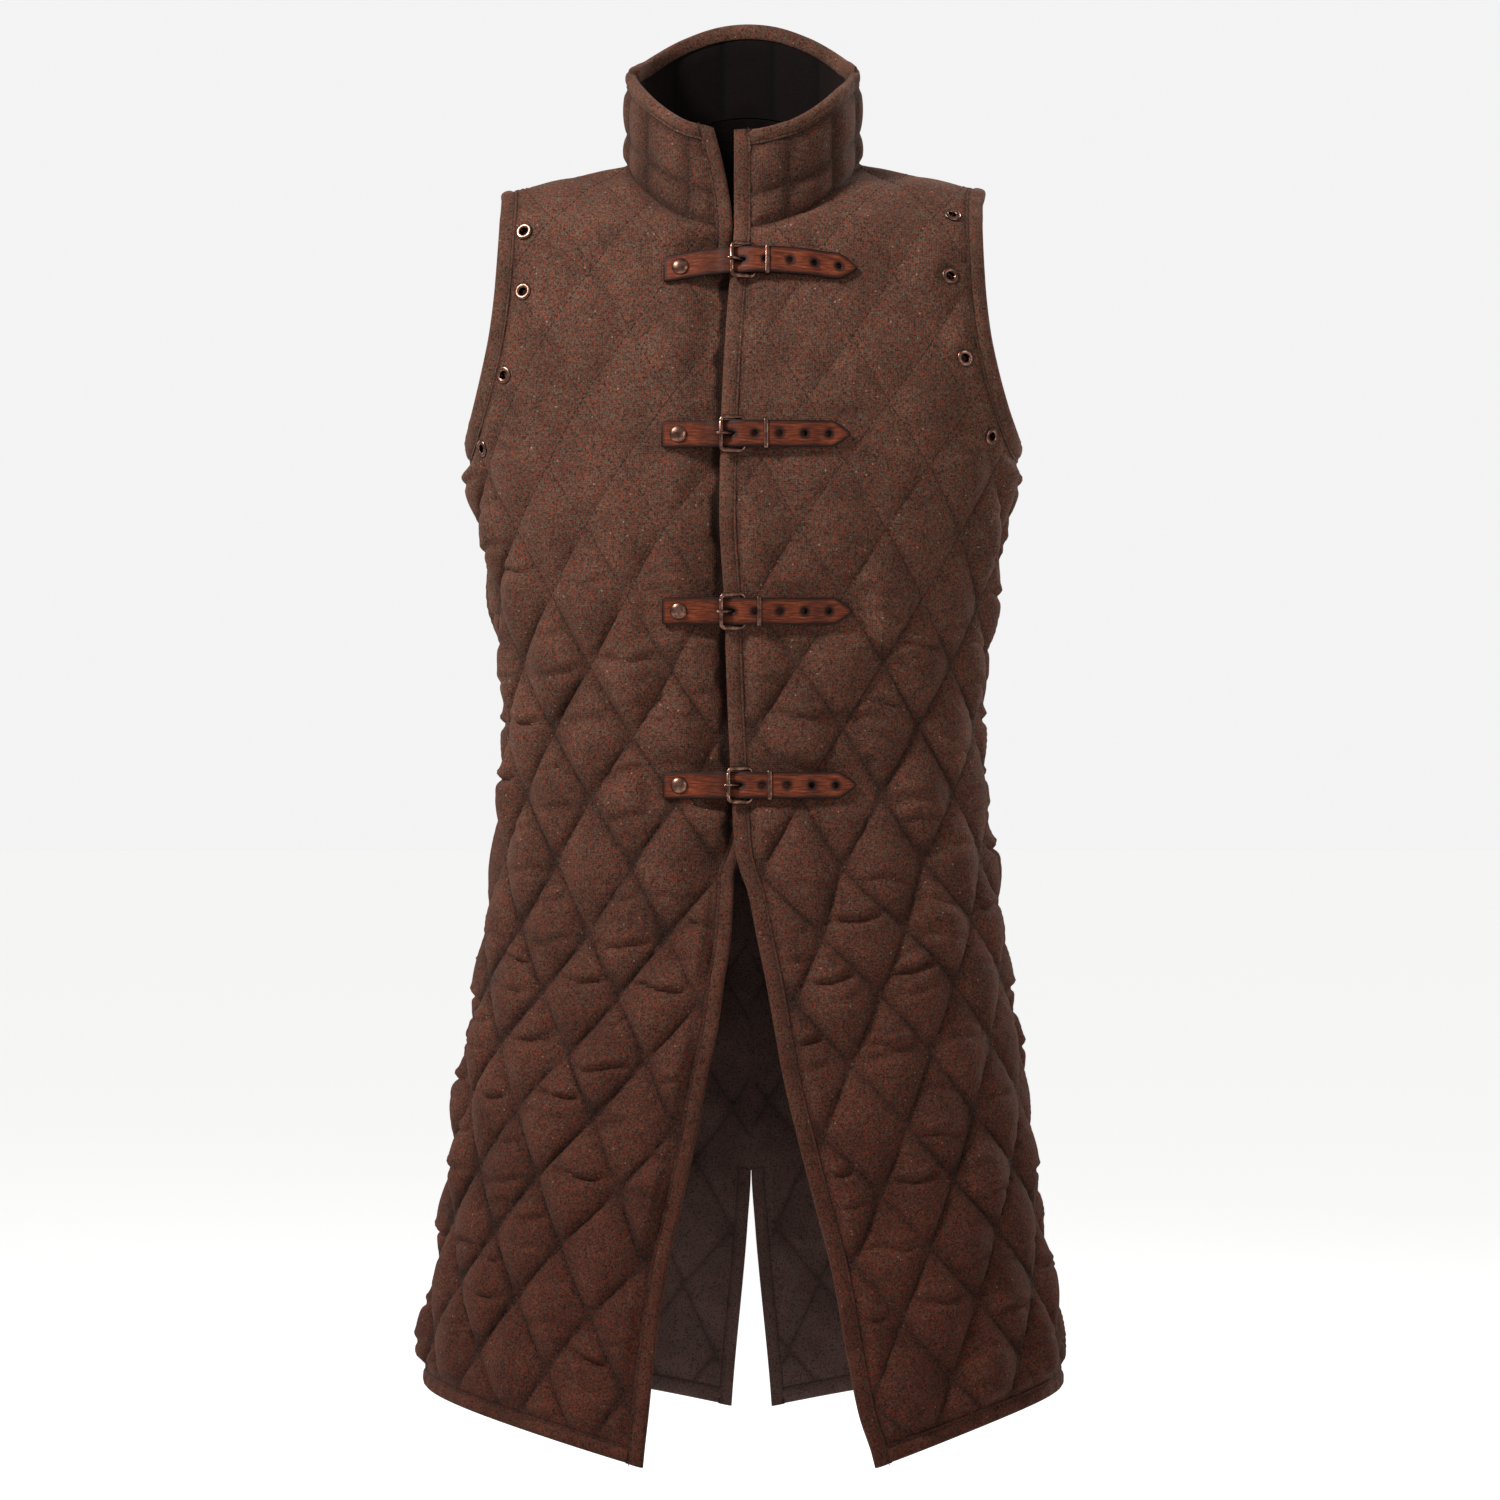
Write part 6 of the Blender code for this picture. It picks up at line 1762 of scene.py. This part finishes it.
def set_on_points(tree, points, shape, paint):
    """Set a copy of a shape on each point, its top turned outwards, and end the tree."""
    out = add(tree, "GeometryNodeInputNamedAttribute", {"data_type": "FLOAT_VECTOR"}, Name="out")
    turn = add(tree, "FunctionNodeAlignRotationToVector", {"axis": "Z"}, Vector=out.outputs[0])
    copies = add(tree, "GeometryNodeInstanceOnPoints", Points=points, Instance=shape,
                 Rotation=turn.outputs[0]).outputs[0]
    end_tree(tree, copies, paint)
    return tree


def lay_out(name, tree, points, outs, edges=(), **sizes):
    """Run a tree on points or lines in millimetres, and keep the result as a plain mesh."""
    mesh = bpy.data.meshes.new(name)
    mesh.from_pydata(np.asarray(points) * MM, list(edges), [])
    layer = mesh.attributes.new("out", "FLOAT_VECTOR", "POINT")
    layer.data.foreach_set("vector", np.asarray(outs, dtype=np.float32).ravel())
    thing = link_new(name, mesh)
    modifier = thing.modifiers.new(tree.name, "NODES")
    modifier.node_group = tree
    for socket in tree.interface.items_tree:
        if socket.in_out == "INPUT" and socket.name in sizes:
            modifier[socket.identifier] = sizes[socket.name]
    evaluated = thing.evaluated_get(bpy.context.evaluated_depsgraph_get())
    plain = bpy.data.meshes.new_from_object(evaluated)
    thing.modifiers.remove(modifier)
    thing.data = plain
    return close_up(thing)


print("helpers for repeated shapes are ready")

# %% [markdown]
# ## Rivets and eyelets
#
# A rivet's cap is a low dome pressed flat underneath. An eyelet is two rolled rims, one on each face of
# the cloth, joined by a barrel through it. Rims and barrel are rings, made by carrying a small circle
# round a large one and pressing it flatter or taller.

# %% Rivets and eyelets
RIVET_X = -41.0
RIVET_RADIUS = 6.2
RIVET_HEIGHT = 3.0
RIVET_GAP = 0.05
EYELET_RING = 4.6
EYELET_WIRE = 1.6
EYELET_FLAT = 0.52
EYELET_DEEP = 6.9
EYELET_RISE = 0.35
BARREL_WALL = 0.4


def rivet_tree():
    """A low dome with a flat underside, set on each point."""
    tree, size = start_tree("riveted_domes", Radius=RIVET_RADIUS * MM, Rise=RIVET_HEIGHT * MM)
    ball = add(tree, "GeometryNodeMeshUVSphere", Segments=32, Rings=18, Radius=1.0).outputs["Mesh"]
    place = add(tree, "ShaderNodeSeparateXYZ", i0=add(tree, "GeometryNodeInputPosition").outputs[0])
    raised = add(tree, "ShaderNodeMath", {"operation": "MAXIMUM"}, i0=place.outputs["Z"], i1=0.0)
    flat = add(tree, "ShaderNodeCombineXYZ", X=place.outputs["X"], Y=place.outputs["Y"], Z=raised.outputs[0])
    dome = add(tree, "GeometryNodeSetPosition", Geometry=ball, Position=flat.outputs[0]).outputs[0]
    scale = add(tree, "ShaderNodeCombineXYZ", X=size["Radius"], Y=size["Radius"], Z=size["Rise"])
    dome = add(tree, "GeometryNodeTransform", Geometry=dome, Scale=scale.outputs[0]).outputs[0]
    return set_on_points(tree, size["Geometry"], dome, brass)


def eyelet_tree():
    """Two rolled rims and a barrel, set on each point."""
    tree, size = start_tree("clamped_eyelets", Ring=EYELET_RING * MM, Wire=EYELET_WIRE * MM,
                            Deep=EYELET_DEEP * MM)
    rim_path = add(tree, "GeometryNodeCurvePrimitiveCircle", Resolution=40, Radius=size["Ring"])
    rim_wire = add(tree, "GeometryNodeCurvePrimitiveCircle", Resolution=12, Radius=size["Wire"])
    rim = add(tree, "GeometryNodeCurveToMesh", Curve=rim_path.outputs[0],
              Profile_Curve=rim_wire.outputs[0]).outputs[0]
    front = add(tree, "GeometryNodeTransform", Geometry=rim, Scale=(1.0, 1.0, EYELET_FLAT)).outputs[0]
    sunk = add(tree, "ShaderNodeMath", {"operation": "MULTIPLY"}, i0=size["Deep"], i1=-1.0).outputs[0]
    inward = add(tree, "ShaderNodeCombineXYZ", Z=sunk).outputs[0]
    rear = add(tree, "GeometryNodeTransform", Geometry=front, Translation=inward).outputs[0]
    barrel_path = add(tree, "GeometryNodeCurvePrimitiveCircle", Resolution=40,
                      Radius=(EYELET_RING - EYELET_WIRE + 2 * BARREL_WALL) * MM)
    barrel_wire = add(tree, "GeometryNodeCurvePrimitiveCircle", Resolution=12, Radius=BARREL_WALL * MM)
    ring = add(tree, "GeometryNodeCurveToMesh", Curve=barrel_path.outputs[0],
               Profile_Curve=barrel_wire.outputs[0]).outputs[0]
    middle = add(tree, "ShaderNodeVectorMath", {"operation": "SCALE"}, i0=inward, Scale=0.5).outputs[0]
    barrel = add(tree, "GeometryNodeTransform", Geometry=ring, Translation=middle,
                 Scale=(1.0, 1.0, EYELET_DEEP / 2 / BARREL_WALL)).outputs[0]
    whole = add(tree, "GeometryNodeJoinGeometry")
    for part in (front, rear, barrel):
        tree.links.new(part, whole.inputs[0])
    return set_on_points(tree, size["Geometry"], whole.outputs[0], brass)


rivet_places = []
for closure in CLOSURES:
    lift = float(strap_lift(closure)(RIVET_X)) + STRAP_THICK + RIVET_GAP
    rivet_places.append(on_front(closure, np.float64(RIVET_X), 0.0, lift))
rivets = lay_out("rivet_caps", rivet_tree(), *zip(*rivet_places))
wear(rivets, "antique_metal", *[f"rivet_{closure.number}" for closure in CLOSURES])
eyelet_places = []
eyelet_nodes = []
for panel in PANELS:
    for eyelet, (p, q) in zip(EYELETS, eyelet_flats(panel)):
        eyelet_places.append(panel.place(p, q, eyelet.seat + EYELET_RISE))
        eyelet_nodes.append(f"eyelet_{SIDE_NAMES[panel.side]}_{panel.half}_{eyelet.number}")
eyelets = lay_out("lacing_eyelets", eyelet_tree(), *zip(*eyelet_places))
wear(eyelets, "antique_metal", *eyelet_nodes)
print("eyelets:", len(eyelet_places))

# %% [markdown]
# ## Stitches
#
# The quilting is sewn right through the coat in straight rows, and the bindings and the collar have
# rows of their own. Each stitch is a small oval of thread, half sunk in the cloth. The real ones are
# about 3.5 mm apart, and they are drawn 4 mm apart here, so that each one shows. A row is a line in the
# flat cloth, cut where it meets an edge or an eyelet, and it is laid on the coat afterwards. Each stitch
# leans a little its own way.

# %% Stitches
STITCH_PITCH = 4.0
STITCH_LONG = 3.1
STITCH_WIDE = 0.85
STITCH_HIGH = 0.75
STITCH_LEAN = 0.1
LINE_STEP = 3.5
ROW_CLEAR = 2.5
DIAMOND_SIDE = math.hypot(DIAMOND_HALF_WIDTH, DIAMOND_HALF_HEIGHT)


def stitch_tree():
    """An oval stitch at every pitch of a line, its length along the line and its back outwards."""
    tree, size = start_tree("rows_of_stitches", Pitch=STITCH_PITCH * MM, Long=STITCH_LONG * MM,
                            Wide=STITCH_WIDE * MM, High=STITCH_HIGH * MM)
    line = add(tree, "GeometryNodeMeshToCurve", Mesh=size["Geometry"]).outputs["Curve"]
    spots = add(tree, "GeometryNodeCurveToPoints", {"mode": "LENGTH"}, Curve=line, Length=size["Pitch"])
    out = add(tree, "GeometryNodeInputNamedAttribute", {"data_type": "FLOAT_VECTOR"}, Name="out")
    turn = add(tree, "FunctionNodeAlignRotationToVector", {"axis": "X"}, Vector=spots.outputs["Tangent"])
    turn = add(tree, "FunctionNodeAlignRotationToVector", {"axis": "Z", "pivot_axis": "X"},
               Rotation=turn.outputs[0], Vector=out.outputs[0])
    lean = add(tree, "FunctionNodeRandomValue", {"data_type": "FLOAT"}, i2=-STITCH_LEAN, i3=STITCH_LEAN,
               Seed=7).outputs[1]
    lean = add(tree, "ShaderNodeCombineXYZ", Z=lean).outputs[0]
    lean = add(tree, "FunctionNodeEulerToRotation", Euler=lean).outputs[0]
    turn = add(tree, "FunctionNodeRotateRotation", {"rotation_space": "LOCAL"}, Rotation=turn.outputs[0],
               Rotate_By=lean).outputs[0]
    oval = add(tree, "GeometryNodeMeshIcoSphere", Radius=0.5, Subdivisions=1).outputs["Mesh"]
    scale = add(tree, "ShaderNodeCombineXYZ", X=size["Long"], Y=size["Wide"], Z=size["High"])
    copies = add(tree, "GeometryNodeInstanceOnPoints", Points=spots.outputs["Points"], Instance=oval,
                 Rotation=turn, Scale=scale.outputs[0]).outputs[0]
    end_tree(tree, copies, thread)
    return tree


def quilting_rows(panel):
    """Each row of quilting on a panel, as flat points."""
    clear = EYELET_RING + EYELET_WIRE + 1
    loops = [OUTLINES[panel.name]] + [circle(place, clear, 16) for place in eyelet_flats(panel)]
    low, high = loops[0].min(axis=0), loops[0].max(axis=0)
    first, last = grid_reach(panel, low, high)
    rows = []
    for axis in (0, 1):
        along = np.arange(first[1 - axis], last[1 - axis], LINE_STEP / DIAMOND_SIDE)
        for line in range(math.ceil(first[axis]), math.floor(last[axis]) + 1):
            a, b = (line, along) if axis == 0 else (along, line)
            points = np.stack(diamond_flat(panel, a, b), axis=1)
            keep = inside(points, loops)
            keep[keep] = edge_distance(points[keep], loops) > ROW_CLEAR
            ends = np.flatnonzero(np.diff(np.concatenate(([0], keep.astype(int), [0]))))
            rows += [points[start:end] for start, end in zip(ends[::2], ends[1::2]) if end - start > 2]
    return rows


def sew(name, tree, rows):
    """Set stitches along rows, each given as its points and their outward directions."""
    points, outs, edges = [], [], []
    for row, out in rows:
        first = sum(len(part) for part in points)
        edges += [(first + step, first + step + 1) for step in range(len(row) - 1)]
        points.append(row)
        outs.append(out)
    thing = lay_out(name, tree, np.concatenate(points), np.concatenate(outs), edges)
    return wear(thing, "binding_wool")


stitches = stitch_tree()
for panel in PANELS:
    rows = [panel.place(row[:, 0], row[:, 1], VALLEY + 0.1) for row in quilting_rows(panel)]
    sew(f"{panel.name}_quilting", stitches, rows)
binding_stitches = sew("binding_stitches", stitches, stitch_rows)
rows = []
low_end, high_end = collar.end(RIGHT, COLLAR_GROOVE) + 2, collar.end(LEFT, COLLAR_GROOVE) - 2
columns = [(number + 0.5) * COLLAR_LINE_PITCH for number in range(-6, 6)]
lines = [(np.arange(low_end, high_end, LINE_STEP), COLLAR_GROOVE)]
lines += [(c, np.arange(2.0, COLLAR_TOP - 1, LINE_STEP)) for c in columns if low_end < c < high_end]
for c, v in lines:
    c, v = np.broadcast_arrays(np.asarray(c, dtype=float), np.asarray(v, dtype=float))
    rows.append(collar.place_round(c, v, collar_lift(c, v, 1.0)[0] + 0.15))
collar_stitches = sew("collar_stitches", stitches, rows)
print("rows of quilting and binding are sewn")

# %% [markdown]
# ## The cut pieces
#
# Each cloth panel is a sheet that was cut flat, and so is the collar; their flat sizes are printed as each
# is made. The line below prints their names.

# %% The cut pieces
print("sheets:", list(cut))

# %% [markdown]
# ## Studio
#
# The coat hangs in a plain pale studio, as if a wearer stood there. One strong lamp, above and on the
# picture's left, rakes across the quilting. A weaker one fills the shadows and two light the back. The
# backdrop looks brighter to the camera than the light it gives, so the cloth keeps its depth. The camera
# stands at waist height, about three metres away and slightly towards the coat's left.

# %% Studio
CAMERA_FAR = 3.1
CAMERA_TURN = math.radians(2.5)
CAMERA_SPAN = 1.103
TARGET = Vector((0.005, 0.0, -0.434))
FLOOR = -1.45
AMBIENT = 0.3
BACKDROP = 0.9
FLOOR_GLOW = 0.69
FLOOR_RADIUS = 40.0
SENSOR = 36.0

# name, place, what it is aimed at, size across in metres, power in watts
LAMPS = (
    ("key_lamp", (-2.2, -1.7, 2.1), (0, 0, -0.45), 0.7, 150),
    ("fill_lamp", (2.4, -2.4, 0.2), (0, 0, -0.5), 1.6, 19),
    ("back_lamp_left", (2.2, 2.3, 1.7), (0, 0, -0.4), 1.0, 90),
    ("back_lamp_right", (-2.2, 2.3, 0.6), (0, 0, -0.4), 1.6, 20),
)


def add_floor():
    """A wide round floor, smooth and pale."""
    work = bmesh.new()
    bmesh.ops.create_circle(work, cap_ends=True, segments=128, radius=FLOOR_RADIUS)
    mesh = bpy.data.meshes.new("studio_floor")
    work.to_mesh(mesh)
    work.free()
    mesh.transform(Matrix.Translation((0, 0, FLOOR)))
    floor = link_new("studio_floor", mesh)
    paint, tree, shader = start_paint("pale_floor", Roughness=0.9, Base_Color=linear("#dcdbd9"),
                                      Emission_Color=linear("#ffffff"))
    seen = add(tree, "ShaderNodeLightPath").outputs["Is Camera Ray"]
    glow = add(tree, "ShaderNodeMath", {"operation": "MULTIPLY"}, i0=seen, i1=FLOOR_GLOW).outputs[0]
    tree.links.new(glow, shader.inputs["Emission Strength"])
    mesh.materials.append(paint)


def add_lamp(name, place, target, size, power):
    """A soft round white lamp aimed at a point."""
    data = bpy.data.lights.new(name, "AREA")
    data.shape = "DISK"
    data.size = size
    data.energy = power
    lamp = link_new(name, data)
    lamp.location = place
    lamp.rotation_euler = (Vector(target) - Vector(place)).to_track_quat("-Z", "Y").to_euler()


add_floor()
for lamp in LAMPS:
    add_lamp(*lamp)
world = bpy.data.worlds.new("pale_studio")
world.use_nodes = True
tree = world.node_tree
seen = add(tree, "ShaderNodeLightPath").outputs["Is Camera Ray"]
strength = add(tree, "ShaderNodeMath", {"operation": "MULTIPLY_ADD"},
               i0=seen, i1=BACKDROP - AMBIENT, i2=AMBIENT)
tree.nodes["Background"].inputs["Color"].default_value = linear("#ffffff")
tree.links.new(strength.outputs[0], tree.nodes["Background"].inputs["Strength"])
bpy.context.scene.world = world
bpy.context.scene.view_settings.view_transform = "Standard"
data = bpy.data.cameras.new("photo_camera")
data.sensor_width = SENSOR
data.lens = SENSOR * CAMERA_FAR / CAMERA_SPAN
camera = link_new("photo_camera", data)
back = Vector((math.sin(CAMERA_TURN), -math.cos(CAMERA_TURN), 0.0))
camera.location = TARGET + back * CAMERA_FAR
camera.rotation_euler = (-back).to_track_quat("-Z", "Y").to_euler()
bpy.context.scene.camera = camera
print("camera at", [round(v, 3) for v in camera.location])
